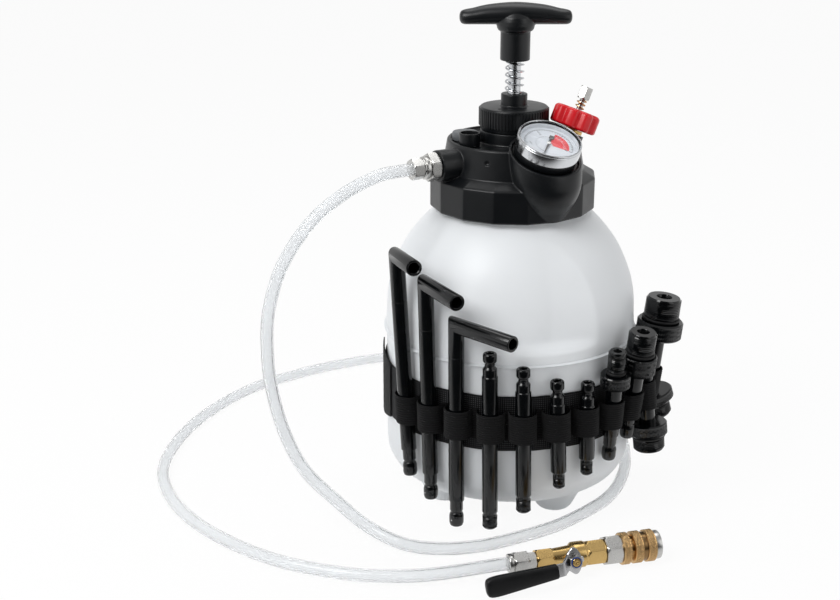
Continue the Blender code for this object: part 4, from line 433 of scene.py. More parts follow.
for name, *webbing in (
        ("strapWeb", 0.0017, 0.0017, (0.003, 0.003, 0.0034), (0.085, 0.088, 0.094)),
        ("loopWeb", 0.0009, 0.0021, (0.0022, 0.0022, 0.0026), (0.0075, 0.0078, 0.0085)),
        ("hookWeb", 0.0013, 0.0013, (0.0035, 0.0035, 0.004), (0.012, 0.0125, 0.0135)),
        # the last web is lighter than the loop web: a painted highlight along the loop band's top edge
        ("highlightEdgeWeb", 0.0008, 0.0016, (0.03, 0.031, 0.034), (0.09, 0.093, 0.10))):
    finishes[name] = webbingFinish(name, *webbing)
finishes["hosePlastic"] = mouldedFinish("hosePlastic", named(mouldedColumns, (
    (0.955, 0.965, 0.975), (0.935, 0.95, 0.962), (0.95, 0.96, 0.97), (0.10, 0.16), (0.01, 0.0001), 0.003, 0.03, 0.0,
    {"Transmission Weight": 0.80, "IOR": 1.28, "Specular IOR Level": 0.5})), "UV")


def glassFinish():
    made = bpy.data.materials.new("gaugeGlass")
    made.use_nodes = True
    tree = made.node_tree
    shader = shaderOf(made)
    where = tree.nodes.new("ShaderNodeTexCoord")
    smear = addNode(tree, "ShaderNodeTexNoise", [(where.outputs["Object"], "Vector")], Scale=90.0, Detail=4.0)
    haze = addNode(tree, "ShaderNodeMapRange", [(smear.outputs["Fac"], "Value")],
                   **{"From Min": 0.45, "From Max": 0.7, "To Min": 0.01, "To Max": 0.05})
    wireUp(tree, (haze, "Result", shader, "Roughness"))
    plainSockets(shader, {"Base Color": (0.98, 0.985, 0.99, 1.0), "Transmission Weight": 1.0, "IOR": 1.16})
    return made


finishes["gaugeGlass"] = glassFinish()
print("finishes ready:", len(finishes))


# piece making
def dress(name, mesh, finish, node, crease=34.0, extra=False):
    # finishes a piece and lets it ride its node's body; an extra piece replaces nothing
    mesh.materials.clear()
    for entry in finish if isinstance(finish, (list, tuple)) else [finish]:
        mesh.materials.append(finishes[entry])
    mesh.shade_smooth()
    mesh.set_sharp_from_angle(angle=math.radians(crease))
    piece = placed(name, mesh)
    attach(piece, bodyOf(node))
    if not extra:
        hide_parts(node)
    return piece


def eased(outline, size, steps=3):
    # rounds each inner corner of an outline; a third number on a point is its own rounding
    made = [tuple(outline[0][:2])]
    for before, here, after in zip(outline[:-2], outline[1:-1], outline[2:]):
        own = here[2] if len(here) > 2 else size
        point, back, ahead = Vector(here[:2]), Vector(before[:2]), Vector(after[:2])
        reach = min(own, (back - point).length * 0.45, (ahead - point).length * 0.45)
        if reach < 1e-6:
            made.append(tuple(point))
            continue
        start = point + (back - point).normalized() * reach
        end = point + (ahead - point).normalized() * reach
        for step in range(steps + 1):
            t = step / steps
            made.append(tuple(start * (1 - t) ** 2 + point * 2 * t * (1 - t) + end * t * t))
    made.append(tuple(outline[-1][:2]))
    return made


def lathed(name, outline, seat, sides=64, shape=None, ring=False, size=0.0004, steps=3):
    # turned mesh about Z; the outline holds radii and heights, a shape changes the radius round the piece
    profile = eased(list(outline) + ([outline[0], outline[1]] if ring else []), size, steps) if size else [
        tuple(point[:2]) for point in outline]
    if ring and size:
        profile = profile[1:-1]
    bm = bmesh.new()
    mapLayer = bm.loops.layers.uv.new("UVMap")
    rings, runs, run = [], [], 0.0
    for index, (radius, height) in enumerate(profile):
        if index:
            run += math.hypot(radius - profile[index - 1][0], height - profile[index - 1][1])
        runs.append(run)
        if radius < 1e-7:
            rings.append([bm.verts.new((0, 0, height))])
            continue
        row = []
        for step in range(sides):
            angle = 2 * math.pi * step / sides
            reach = shape(angle, radius, height) if shape else radius
            row.append(bm.verts.new((reach * math.sin(angle), -reach * math.cos(angle), height)))
        rings.append(row)
    widest = max(point[0] for point in profile)
    order = list(range(len(profile) - 1)) + ([-1] if ring else [])
    for index in order:
        lower, upper = rings[index], rings[index + 1 if index >= 0 else 0]
        lowRun, highRun = runs[index], runs[index + 1] if index >= 0 else runs[-1] + 0.001
        for step in range(sides):
            after = (step + 1) % sides
            left, right = step / sides * 2 * math.pi * widest, (step + 1) / sides * 2 * math.pi * widest
            if len(lower) == 1 and len(upper) == 1:
                continue
            if len(lower) == 1:
                corners = ((lower[0], left, lowRun), (upper[step], left, highRun), (upper[after], right, highRun))
            elif len(upper) == 1:
                corners = ((lower[step], left, lowRun), (lower[after], right, lowRun), (upper[0], left, highRun))
            else:
                corners = ((lower[step], left, lowRun), (lower[after], right, lowRun),
                           (upper[after], right, highRun), (upper[step], left, highRun))
            face = bm.faces.new([corner[0] for corner in corners])
            for loop, corner in zip(face.loops, corners):
                loop[mapLayer].uv = (corner[1], corner[2])
    if not ring:
        for row in (rings[0], rings[-1]):
            if len(row) > 1:
                bm.faces.new(row)
    bmesh.ops.remove_doubles(bm, verts=bm.verts, dist=1e-7)
    return meshFrom(name, bm, seat)


def hexShape(flats, start, end, depth):
    # hexagon across flats; a cone takes the corners off both faces
    def shape(angle, radius, height):
        if radius < flats * 0.49:
            return radius
        near = min(height - start, end - height)
        limit = flats / 2 * 1.02 + max(0.0, near) * (flats / 2 * 0.155) / depth
        return min(flats / 2 / math.cos((angle % (math.pi / 3)) - math.pi / 6), limit)
    return shape


def hexNut(name, flats, start, end, seat, bore=0.0):
    # five rows of points at each face carry the chamfer
    depth, corner = (end - start) * 0.14, flats / math.sqrt(3)
    outline = [(bore, start)] + [(corner, start + depth * k / 4, 0) for k in range(5)]
    outline += [(corner, end - depth * (4 - k) / 4, 0) for k in range(5)] + [(bore, end)]
    return lathed(name, outline, seat, 72, hexShape(flats, start, end, depth), ring=bore > 0, size=0)


def turnedPiece(name, outline, seat, sides, finish, node, slot, crease=34.0, **rest):
    return dress(name, lathed(name, outline, seat, sides, **rest), finish, node, crease)


def joinMeshes(name, meshes):
    bm = bmesh.new()
    for mesh in meshes:
        bm.from_mesh(mesh)
    joined = bpy.data.meshes.new(name)
    bm.to_mesh(joined)
    bm.free()
    return joined


def sweptTube(name, points, radius, sides, inner=None):
    # round tube along points, with its own map: round it, then along it, in metres
    tangents = []
    for index in range(len(points)):
        ahead = points[min(len(points) - 1, index + 1)] - points[max(0, index - 1)]
        tangents.append(ahead.normalized())
    side = tangents[0].orthogonal().normalized()
    frames = []
    for index, tangent in enumerate(tangents):
        side = (side - tangent * side.dot(tangent)).normalized()
        frames.append((side.copy(), tangent.cross(side)))
    bm = bmesh.new()
    mapLayer = bm.loops.layers.uv.new("UVMap")
    runs, run = [0.0], 0.0
    for before, after in zip(points[:-1], points[1:]):
        run += (after - before).length
        runs.append(run)

    def wall(reach, flip):
        rows = []
        for centre, (across, over) in zip(points, frames):
            rows.append([bm.verts.new(centre + (across * math.cos(2 * math.pi * k / sides)
                                                + over * math.sin(2 * math.pi * k / sides)) * reach)
                         for k in range(sides)])
        for index in range(len(rows) - 1):
            for k in range(sides):
                after = (k + 1) % sides
                corners = [(rows[index][k], k, index), (rows[index][after], k + 1, index),
                           (rows[index + 1][after], k + 1, index + 1), (rows[index + 1][k], k, index + 1)]
                if flip:
                    corners.reverse()
                face = bm.faces.new([corner[0] for corner in corners])
                for loop, corner in zip(face.loops, corners):
                    loop[mapLayer].uv = (corner[1] / sides * 2 * math.pi * reach, runs[corner[2]])
        return rows

    outer = wall(radius, False)
    if inner:
        bore = wall(inner, True)
        for row, other in ((outer[0], bore[0]), (outer[-1], bore[-1])):
            for k in range(sides):
                after = (k + 1) % sides
                bm.faces.new((row[k], other[k], other[after], row[after]))
    else:
        bm.faces.new(outer[0])
        bm.faces.new(outer[-1])
    return meshFrom(name, bm)


# hose: laid on the floor along the photographed route, 1.8 m long
hoseSizes = SimpleNamespace(
    radius=0.0050, bore=0.0034, sides=32, bossAzimuth=-60.6, bossHeight=0.2826, bossReach=0.0708,
    fittingLength=0.0231, valveCentre=(0.0375, -0.1647, 0.0123), valveAzimuth=14.7, valveStart=-0.0483)
hosePoints = (
    (-0.1082, -0.0650, 0.2816), (-0.1343, -0.0800, 0.2706), (-0.1586, -0.0900, 0.2507),
    (-0.1790, -0.0950, 0.2199), (-0.1895, -0.1000, 0.1865), (-0.1918, -0.1000, 0.1532),
    (-0.1893, -0.1000, 0.1213), (-0.1803, -0.1000, 0.0841), (-0.1650, -0.1030, 0.0536),
    (-0.1390, -0.1120, 0.0305), (-0.1160, -0.1240, 0.0160), (-0.0880, -0.1370, 0.0076),
    (-0.0592, -0.1410, 0.0054), (-0.0281, -0.1362, 0.0053), (0.0039, -0.1215, 0.0053),
    (0.0373, -0.1004, 0.0053), (0.0685, -0.0694, 0.0053), (0.0845, -0.0469, 0.0053),
    (0.0958, -0.0200, 0.0053), (0.1045, 0.0146, 0.0053), (0.1085, 0.0700, 0.0053),
    (0.1020, 0.1350, 0.0053), (0.0780, 0.1980, 0.0053), (0.0350, 0.2450, 0.0053),
    (-0.0250, 0.2700, 0.0053), (-0.0750, 0.2770, 0.0053), (-0.1200, 0.2680, 0.0053),
    (-0.1630, 0.2480, 0.0053), (-0.2010, 0.2220, 0.0053), (-0.2393, 0.1870, 0.0053),
    (-0.2700, 0.1360, 0.0053), (-0.2910, 0.0760, 0.0053), (-0.2975, 0.0085, 0.0053),
    (-0.2835, -0.0478, 0.0053), (-0.2562, -0.0953, 0.0053), (-0.2200, -0.1330, 0.0053),
    (-0.1798, -0.1615, 0.0053), (-0.1340, -0.1790, 0.0055), (-0.0950, -0.1865, 0.0070),
    (-0.0620, -0.1875, 0.0096),
)


def smoothRoute(points, parts=12):
    fine = []
    for index in range(len(points) - 1):
        before = points[max(0, index - 1)]
        start, end = points[index], points[index + 1]
        after = points[min(len(points) - 1, index + 2)]
        for part in range(parts):
            t = part / parts
            bend = 2 * before - 5 * start + 4 * end - after
            twist = 3 * start - before - 3 * end + after
            fine.append(0.5 * (2 * start + (end - before) * t + bend * t ** 2 + twist * t ** 3))
    fine.append(points[-1])
    return fine


bossDirection = outward(hoseSizes.bossAzimuth)
bossFace = bossDirection * hoseSizes.bossReach + Vector((0, 0, hoseSizes.bossHeight))
bossTurn = squareTo(bossDirection, (0, 0, -1))
valvePlace = Vector(hoseSizes.valveCentre)
valveTurn = Matrix.Rotation(math.radians(hoseSizes.valveAzimuth), 3, "Z")
valveLine = valveTurn @ Vector((1, 0, 0))
hoseStart = bossFace + bossDirection * hoseSizes.fittingLength
hoseEnd = valvePlace + valveLine * hoseSizes.valveStart
hoseGuide = [hoseStart + bossDirection * 2 * hoseSizes.radius] + [Vector(point) for point in hosePoints]
hoseGuide += [hoseEnd - valveLine * 2 * hoseSizes.radius]
hoseLine = [home @ point for point in [hoseStart] + smoothRoute(hoseGuide, 10) + [hoseEnd]]
hoseMesh = sweptTube("hoseTube", hoseLine, hoseSizes.radius, hoseSizes.sides, hoseSizes.bore)
hoseTube = dress("hoseTube", hoseMesh, "hosePlastic", "hose")


# geometry node trees for what repeats
def endTree(tree, given, result, geometry):
    real = tree.nodes.new("GeometryNodeRealizeInstances")
    painted = tree.nodes.new("GeometryNodeSetMaterial")
    tree.links.new(geometry, real.inputs["Geometry"])
    wireUp(tree, (real, "Geometry", painted, "Geometry"), (given, "Finish", painted, "Material"),
           (painted, "Geometry", result, "Geometry"))


def makeCoilTree():
    # a wire or thread ridge wound round Z
    tree, given, result = newTree("woundWire", "GeometryNodeTree", [
        ("Radius", "Float", 0.007), ("Height", "Float", 0.02), ("Turns", "Float", 4.0),
        ("Wire Radius", "Float", 0.0007), ("Steps", "Int", 32), ("Wire Sides", "Int", 8),
        ("Finish", "Material", None)], [("Geometry", "Geometry")])
    spiral = tree.nodes.new("GeometryNodeCurveSpiral")
    profile = tree.nodes.new("GeometryNodeCurvePrimitiveCircle")
    tube = tree.nodes.new("GeometryNodeCurveToMesh")
    tube.inputs["Fill Caps"].default_value = True
    wireUp(tree, (given, "Radius", spiral, "Start Radius"), (given, "Radius", spiral, "End Radius"),
           (given, "Height", spiral, "Height"), (given, "Turns", spiral, "Rotations"),
           (given, "Steps", spiral, "Resolution"), (given, "Wire Radius", profile, "Radius"),
           (given, "Wire Sides", profile, "Resolution"), (spiral, "Curve", tube, "Curve"),
           (profile, "Curve", tube, "Profile Curve"))
    endTree(tree, given, result, tube.outputs["Mesh"])
    return tree


def makeRibTree():
    # small upright ribs set round a circle
    tree, given, result = newTree("ribRing", "GeometryNodeTree", [
        ("Count", "Int", 60), ("Radius", "Float", 0.028), ("Rib Size", "Vector", (0.001, 0.001, 0.01)),
        ("Finish", "Material", None)], [("Geometry", "Geometry")])
    circle = tree.nodes.new("GeometryNodeMeshCircle")
    rib = tree.nodes.new("GeometryNodeMeshCube")
    stand = tree.nodes.new("GeometryNodeInstanceOnPoints")
    place = tree.nodes.new("GeometryNodeInputPosition")
    face = tree.nodes.new("FunctionNodeAlignEulerToVector")
    wireUp(tree, (given, "Count", circle, "Vertices"), (given, "Radius", circle, "Radius"),
           (given, "Rib Size", rib, "Size"), (circle, "Mesh", stand, "Points"), (rib, "Mesh", stand, "Instance"),
           (place, "Position", face, "Vector"), (face, "Rotation", stand, "Rotation"))
    endTree(tree, given, result, stand.outputs["Instances"])
    return tree


coilTree = makeCoilTree()
ribTree = makeRibTree()


def grown(name, tree, values, seat):
    # runs a tree once and gives back the plain mesh
    holder = placed(name + "Seed", bpy.data.meshes.new(name + "Seed"))
    change = holder.modifiers.new("grow", "NODES")
    change.node_group = tree
    for item in tree.interface.items_tree:
        if item.item_type == "SOCKET" and item.in_out == "INPUT" and item.name in values:
            change[item.identifier] = values[item.name]
    mesh = settled(holder)
    mesh.name = name
    mesh.transform(seat)
    return mesh


def coil(name, radius, bottom, top, turns, wire, seat, steps=32, sides=8, finish="plainSteel"):
    return grown(name, coilTree, {"Radius": radius, "Height": top - bottom, "Turns": turns, "Wire Radius": wire,
                                  "Steps": steps, "Wire Sides": sides, "Finish": finishes[finish]},
                 seat @ Matrix.Translation((0, 0, bottom)))


def thread(name, radius, bottom, top, pitch, seat, finish):
    # ridges that stand half out of the core they run on
    return coil(name, radius, bottom, top, (top - bottom) / pitch, pitch * 0.42, seat, 36, 4, finish)


def cutWork(name, base, tools):
    # the base as an object that its tools join and cut
    work = placed(name + "Work", base)
    helpers = []
    for operation, mesh in tools:
        tool = placed(name + "Tool", mesh)
        change = work.modifiers.new("cut", "BOOLEAN")
        change.operation, change.object, change.solver = operation, tool, "EXACT"
        helpers.append(tool)
    return work, helpers


def fusedMesh(name, base, tools, voxel, smoothing, keep):
    # melts the joints together as one moulding
    work, helpers = cutWork(name, base, tools)
    melt = work.modifiers.new("melt", "REMESH")
    melt.mode, melt.voxel_size = "VOXEL", voxel
    soften = work.modifiers.new("soften", "SMOOTH")
    soften.factor, soften.iterations = 0.5, smoothing
    work.modifiers.new("thin", "DECIMATE").ratio = keep
    mesh = settled(work, *helpers)
    mesh.name = name
    return mesh


# bottle: blow moulded, with an arched dish in its front and back and four feet
bottleSizes = SimpleNamespace(
    radius=0.102, height=0.262, wall=0.0025, neck=0.059, columns=240, baseMiddle=0.076, outline=((0.49, 0.065),
    (0.608, 0.063), (0.686, 0.062), (0.765, 0.063), (0.843, 0.069), (0.922, 0.086), (0.975, 0.118), (1.0, 0.158),
    (1.002, 0.30), (1.002, 0.45), (1.002, 0.525), (1.0045, 0.533), (1.0045, 0.560), (1.0, 0.592), (0.994, 0.645),
    (0.971, 0.695), (0.940, 0.732), (0.890, 0.778), (0.838, 0.815), (0.762, 0.855), (0.68, 0.890), (0.603, 0.914)),
    footAzimuth=34.0, footRing=0.0645, footFlat=0.0118, footBulge=0.0240, dishAzimuth=16.0, dishLeft=45.0,
    dishRight=22.5, dishDepth=0.0085, dishLedge=0.569, dishFull=0.600, dishTop=0.885)


def dishDepth(azimuth, share):
    sizes = bottleSizes
    if not sizes.dishLedge < share < sizes.dishTop:
        return 0.0
    off = (azimuth - sizes.dishAzimuth + 90) % 180 - 90
    climb = (share - sizes.dishLedge) / (sizes.dishTop - sizes.dishLedge)
    away = abs(off) / (math.sqrt(1.0 - climb ** 3) * (sizes.dishRight if off > 0 else sizes.dishLeft))
    if away >= 1.0:
        return 0.0
    across = 1.0 - away ** 2 if off > 0 else (1.0 - away) ** 1.5
    rise = easeIn((share - sizes.dishLedge) / (sizes.dishFull - sizes.dishLedge))
    return sizes.dishDepth * across * rise * (1.0 - climb ** 2)


def footDrop(position, height):
    sizes = bottleSizes
    azimuth = math.degrees(math.atan2(position.x, -position.y))
    nearest = sizes.footAzimuth + 90 * round((azimuth - sizes.footAzimuth) / 90)
    distance = (position - outward(nearest, sizes.footRing)).length
    return height * (1.0 - easeIn((distance - sizes.footFlat) / (sizes.footBulge - sizes.footFlat)))


def bottleRows():
    sizes = bottleSizes
    coarse = [Vector((sizes.radius * a, sizes.height * b, 0)) for a, b in sizes.outline]
    path = smoothRoute(coarse, 5)
    middle = Vector((0, sizes.height * sizes.baseMiddle, 0))
    base = [middle.lerp(path[0], share) for share in (0.05, 0.2, 0.36, 0.52, 0.68, 0.84)]
    neck = [Vector((sizes.neck, path[-1].y + 0.0025, 0)), Vector((sizes.neck, sizes.height, 0))]
    return base + path + neck


def bottleMesh():
    sizes = bottleSizes
    bm = bmesh.new()
    rows = []
    limit = sizes.height * 0.095
    for point in bottleRows():
        row = []
        for step in range(sizes.columns):
            azimuth = 360.0 * step / sizes.columns
            reach = point.x - dishDepth(azimuth, point.y / sizes.height)
            place = outward(azimuth, reach)
            height = point.y - (footDrop(place, point.y) if point.y < limit else 0.0)
            row.append(bm.verts.new((place.x, place.y, height)))
        rows.append(row)
    tip = bm.verts.new((0, 0, sizes.height * sizes.baseMiddle))
    count = sizes.columns
    for step in range(count):
        bm.faces.new((tip, rows[0][(step + 1) % count], rows[0][step]))
    for lower, upper in zip(rows[:-1], rows[1:]):
        for step in range(count):
            after = (step + 1) % count
            bm.faces.new((lower[step], lower[after], upper[after], upper[step]))
    bmesh.ops.recalc_face_normals(bm, faces=bm.faces)
    if sum(face.normal.dot(face.calc_center_median() - Vector((0, 0, 0.13))) for face in bm.faces) < 0:
        bmesh.ops.reverse_faces(bm, faces=bm.faces)
    mesh = bpy.data.meshes.new("bottleShell")
    bm.to_mesh(mesh)
    bm.free()
    mesh.transform(home)
    return mesh


def thickened(mesh, thickness):
    holder = placed("wallSeed", mesh)
    wall = holder.modifiers.new("wall", "SOLIDIFY")
    wall.thickness, wall.offset = thickness, -1.0
    return settled(holder)


dress("bottleShell", thickened(bottleMesh(), bottleSizes.wall), "milkyPlastic", "bottle", crease=50.0)
print("bottle blown")


# pump head: collar, drum, gauge cup, hose boss and relief boss as one moulding
headSizes = SimpleNamespace(
    collarSides=16, collarRadius=0.067, collarAzimuth=6.5, collarBottom=0.2432, collarTop=0.2700, edge=0.0013,
    drumFootRadius=0.0568, drumFoot=0.2746, drumTopRadius=0.0530, rim=0.2978, rimWidth=0.0030, rimEase=0.0009,
    deck=0.2955, sleeveRadius=0.0265, sleeveTop=0.3052, sealPlane=0.2645, collarBore=0.0605, barrelBore=0.0203,
    bossRadius=0.0125, bossRoot=0.035, boreRadius=0.0066, boreDepth=0.013, gaugeBore=0.0048, gaugeBoreDepth=0.0152,
    past=0.002, cupRadius=0.0288, cupWall=0.0022, cupFootRadius=0.0120, cupFootReach=0.0545, cupFootAzimuth=27.0,
    cupFootLift=0.0003, cupLevel=0.84, cupSides=96, pocketDepth=0.0080, rimDrop=0.0055, reliefRadius=0.0115,
    reliefGap=0.0036, reliefLength=0.020, capRoom=0.0300, capRoomTop=0.3237, dimple=(-24.8, 0.0545, 0.2882),
    dimpleRadius=0.0018, dimpleDepth=0.0012, facetReach=0.0575, facetOver=0.0006)
gaugeSizes = SimpleNamespace(
    centre=(0.0250, -0.0528, 0.3091), azimuth=28.9, tilt=23.6, bezelRadius=0.0254, height=0.0104, lipWidth=0.0018,
    wall=0.0007, caseDepth=0.0174, dialDrop=0.0062, liner=0.0028, needleRest=-45.0, needleLength=0.0125,
    needleTail=0.0115, needleHalf=0.0007, tailStart=0.0075, tailHalf=0.0019)
knobSizes = SimpleNamespace(
    base=(0.0461, -0.0013, 0.3059), azimuth=115.3, tilt=23.1, radius=0.0190, height=0.0152, lobes=8, depth=0.0033,
    pinRadius=0.0024, hexFlats=0.0095, hexStart=0.0243, hexLength=0.0100, springRadius=0.0036, springWire=0.00045)
gaugeTurn = leanTo(gaugeSizes.azimuth, gaugeSizes.tilt)
gaugeCentre = Vector(gaugeSizes.centre)
gaugeSeat = seatAt(gaugeCentre, gaugeTurn)
rimCentre = gaugeCentre - gaugeTurn @ Vector((0, 0, gaugeSizes.height))
knobTurn = leanTo(knobSizes.azimuth, knobSizes.tilt)
knobSeat = seatAt(knobSizes.base, knobTurn)


def headBase():
    sizes = headSizes
    corner = math.pi / sizes.collarSides
    start = math.radians(sizes.collarAzimuth)

    def shape(angle, radius, height):
        if height > sizes.collarTop + sizes.facetOver or radius < sizes.facetReach:
            return radius
        turned = (angle - start) % (2 * corner)
        return radius * math.cos(corner) / math.cos(turned - corner)

    top = sizes.drumTopRadius
    outline = [
        (0, sizes.collarBottom), (sizes.collarRadius - sizes.edge, sizes.collarBottom, 0),
        (sizes.collarRadius, sizes.collarBottom + sizes.edge, 0),
        (sizes.collarRadius, sizes.collarTop - sizes.edge, 0),
        (sizes.collarRadius - sizes.edge, sizes.collarTop, 0),
        (sizes.drumFootRadius, sizes.drumFoot, 0), (top, sizes.rim - sizes.rimEase, 0),
        (top - sizes.rimEase, sizes.rim, 0), (top - sizes.rimWidth, sizes.rim, 0),
        (top - sizes.rimWidth, sizes.deck, 0), (sizes.sleeveRadius, sizes.deck, 0),
        (sizes.sleeveRadius, sizes.sleeveTop, 0), (0, sizes.sleeveTop)]
    return lathed("headBase", outline, Matrix.Identity(4), 160, shape, size=0)


def plug(name, radius, bottom, top, turn, place, sides=64):
    seat = Matrix.Translation(Vector(place)) @ turn.to_4x4()
    return lathed(name, [(0, bottom), (radius, bottom), (radius, top), (0, top)], seat, sides, size=0)


def cupMesh():
    sizes = headSizes
    foot = outward(sizes.cupFootAzimuth, sizes.cupFootReach)
    foot.z = sizes.collarBottom + sizes.cupFootLift
    stations = smoothRoute([Vector((down, wide, 0)) for down, wide in (
        (0.0, 1.0), (0.14, 1.0), (0.38, 0.93), (0.62, 0.70), (0.84, 0.32), (1.0, 0.0))], 4)
    lip = rimCentre - gaugeTurn @ Vector((0, 0, sizes.rimDrop))
    level = leanTo(gaugeSizes.azimuth, 0).to_quaternion()
    rows = []
    for station in stations:
        centre = lip.lerp(foot, station.x)
        radius = sizes.cupFootRadius + (sizes.cupRadius - sizes.cupFootRadius) * station.y
        turn = gaugeTurn.to_quaternion().slerp(level, min(1.0, station.x / sizes.cupLevel))
        rows.append([centre + turn @ outward(360 * k / sizes.cupSides, radius) for k in range(sizes.cupSides)])
    return loftMesh("cup", rows)


def headMesh():
    sizes = headSizes
    upright = Matrix.Identity(3)
    pocket, past = sizes.cupRadius - sizes.cupWall, sizes.past
    dimpleAzimuth, dimpleReach, dimpleHeight = sizes.dimple
    dimpleSide = outward(dimpleAzimuth)
    dimple = dimpleSide * dimpleReach + Vector((0, 0, dimpleHeight))
    plugs = (
        ("UNION", "boss", sizes.bossRadius, sizes.bossRoot - hoseSizes.bossReach, 0, bossTurn, bossFace),
        ("UNION", "relief", sizes.reliefRadius, -sizes.reliefLength, -sizes.reliefGap, knobTurn,
         knobSizes.base),
        ("DIFFERENCE", "bore", sizes.collarBore, sizes.collarBottom - past, sizes.sealPlane, upright,
         (0, 0, 0), 96),
        ("DIFFERENCE", "barrelBore", sizes.barrelBore, sizes.sealPlane - past, sizes.sleeveTop + past,
         upright, (0, 0, 0)),
        ("DIFFERENCE", "capRoom", sizes.capRoom, sizes.sleeveTop, sizes.capRoomTop, upright, (0, 0, 0)),
        ("DIFFERENCE", "pocket", pocket, -sizes.pocketDepth, gaugeSizes.height, gaugeTurn, rimCentre, 96),
        ("DIFFERENCE", "fittingBore", sizes.boreRadius, -sizes.boreDepth, past, bossTurn, bossFace, 32),
        ("DIFFERENCE", "gaugeBore", sizes.gaugeBore, -sizes.gaugeBoreDepth, 0, gaugeTurn, rimCentre, 24),
        ("DIFFERENCE", "dimple", sizes.dimpleRadius, -sizes.dimpleDepth, past,
         squareTo(dimpleSide, (0, 0, -1)), dimple, 24))
    tools = [("UNION", cupMesh())] + [(operation, plug(*rest)) for operation, *rest in plugs]
    mesh = fusedMesh("headShell", headBase(), tools, 0.0006, 1, 0.45)
    mesh.transform(home)
    return mesh


dress("headShell", headMesh(), "blackPlastic", "head_body", crease=60.0)
print("head moulded")


# deck: port plug and safety cap
deckSizes = SimpleNamespace(
    deck=0.2958, plug=(-0.0356, -0.0195), plugRadius=0.0085, plugHeight=0.0103, plugWall=0.0014, hollow=0.0060,
    safety=(-0.0385, 0.0022), safetyRadius=0.0104, safetyHeight=0.0068)
plugRadius, plugTop = deckSizes.plugRadius, deckSizes.plugHeight
plugInner, plugFloor = plugRadius - deckSizes.plugWall, plugTop - deckSizes.hollow
turnedPiece("plugSkin", [
    (0, 0), (plugRadius, 0), (plugRadius, plugTop), (plugInner, plugTop), (plugInner, plugFloor), (0, plugFloor)],
    seatAt((*deckSizes.plug, deckSizes.deck)), 64, "blackPlastic", "port_plug", "black_plastic", size=0.0005)
safetyRadius, safetyTop = deckSizes.safetyRadius, deckSizes.safetyHeight
turnedPiece("safetyCapSkin", [(0, 0), (safetyRadius, 0), (safetyRadius, safetyTop, 0.0016), (0, safetyTop)],
            seatAt((*deckSizes.safety, deckSizes.deck)), 64, "greyPlastic", "safety_cap", "grey_plastic", size=0.0008)


# pump cap with its fine upright ribs
capSizes = SimpleNamespace(
    radius=0.0280, bottom=0.3055, top=0.3237, skirt=0.0035, guide=0.0105, guideTop=0.3336, bore=0.0053, ribs=66,
    ribDepth=0.0007, ribWidth=0.00125, vent=0.0013, ventAzimuth=-40.0, ventReach=0.019)
capRadius, capBottom, capTop, capGuide = capSizes.radius, capSizes.bottom, capSizes.top, capSizes.guide
skirtTop = capBottom + capSizes.skirt
capOutline = [
    (capSizes.bore, capBottom), (capRadius - 0.0016, capBottom), (capRadius - 0.0010, skirtTop),
    (capRadius - 0.0006, skirtTop + 0.0006), (capRadius - 0.0006, capTop - 0.0022),
    (capRadius - 0.0012, capTop, 0.0012), (capGuide + 0.0012, capTop), (capGuide, capTop + 0.0008),
    (capGuide, capSizes.guideTop, 0.0009), (capSizes.bore, capSizes.guideTop)]
ventSeat = home @ Matrix.Translation(outward(capSizes.ventAzimuth, capSizes.ventReach)
                                     + Vector((0, 0, capTop)))
ventCut = lathed("vent", [(0, -0.004), (capSizes.vent, -0.004), (capSizes.vent, 0.002), (0, 0.002)], ventSeat,
                 24, size=0)
capWork, capHelpers = cutWork("cap", lathed("capCore", capOutline, home, 96, ring=True, size=0.0006),
                              [("DIFFERENCE", ventCut)])
capCore = settled(capWork, *capHelpers)
ribHeight = capTop - 0.0016 - skirtTop
capRibs = grown("capRibs", ribTree, {
    "Count": capSizes.ribs, "Radius": capRadius - capSizes.ribDepth,
    "Rib Size": (capSizes.ribDepth * 2, capSizes.ribWidth, ribHeight), "Finish": finishes["blackPlastic"]},
    home @ Matrix.Translation((0, 0, skirtTop + ribHeight / 2)))
dress("pumpCapSkin", capCore, "blackPlastic", "pump_cap", crease=40.0)
dress("pumpCapRibs", capRibs, "blackPlastic", "pump_cap", extra=True)


# rod, spring and T handle
handleSizes = SimpleNamespace(
    socketBottom=0.3600, socketDepth=0.021, top=0.4050, halfLength=0.0440, halfHeight=0.0086, halfDepth=0.0110,
    hub=0.0168, rod=0.0050, rodBottom=0.097, springRadius=0.0070, springWire=0.00075, springTurns=4.5, gap=0.0003,
    sides=48, bore=0.0053, rodGrip=0.0205)
rodRadius, rodBottom = handleSizes.rod, handleSizes.rodBottom
rodTop = handleSizes.socketBottom + handleSizes.rodGrip
turnedPiece("pumpRodSkin", [(0, rodBottom), (rodRadius, rodBottom), (rodRadius, rodTop), (0, rodTop)], home, 48,
            "chrome", "pump_rod", "steel", size=0.0008)
springTop = handleSizes.socketBottom - handleSizes.gap - handleSizes.springWire
springFoot = capSizes.guideTop + handleSizes.gap + handleSizes.springWire
dress("pumpSpringWire", coil("pumpSpringWire", handleSizes.springRadius, springFoot, springTop,
                             handleSizes.springTurns, handleSizes.springWire, home, 48, 10, "chrome"),
      "chrome", "pump_spring")


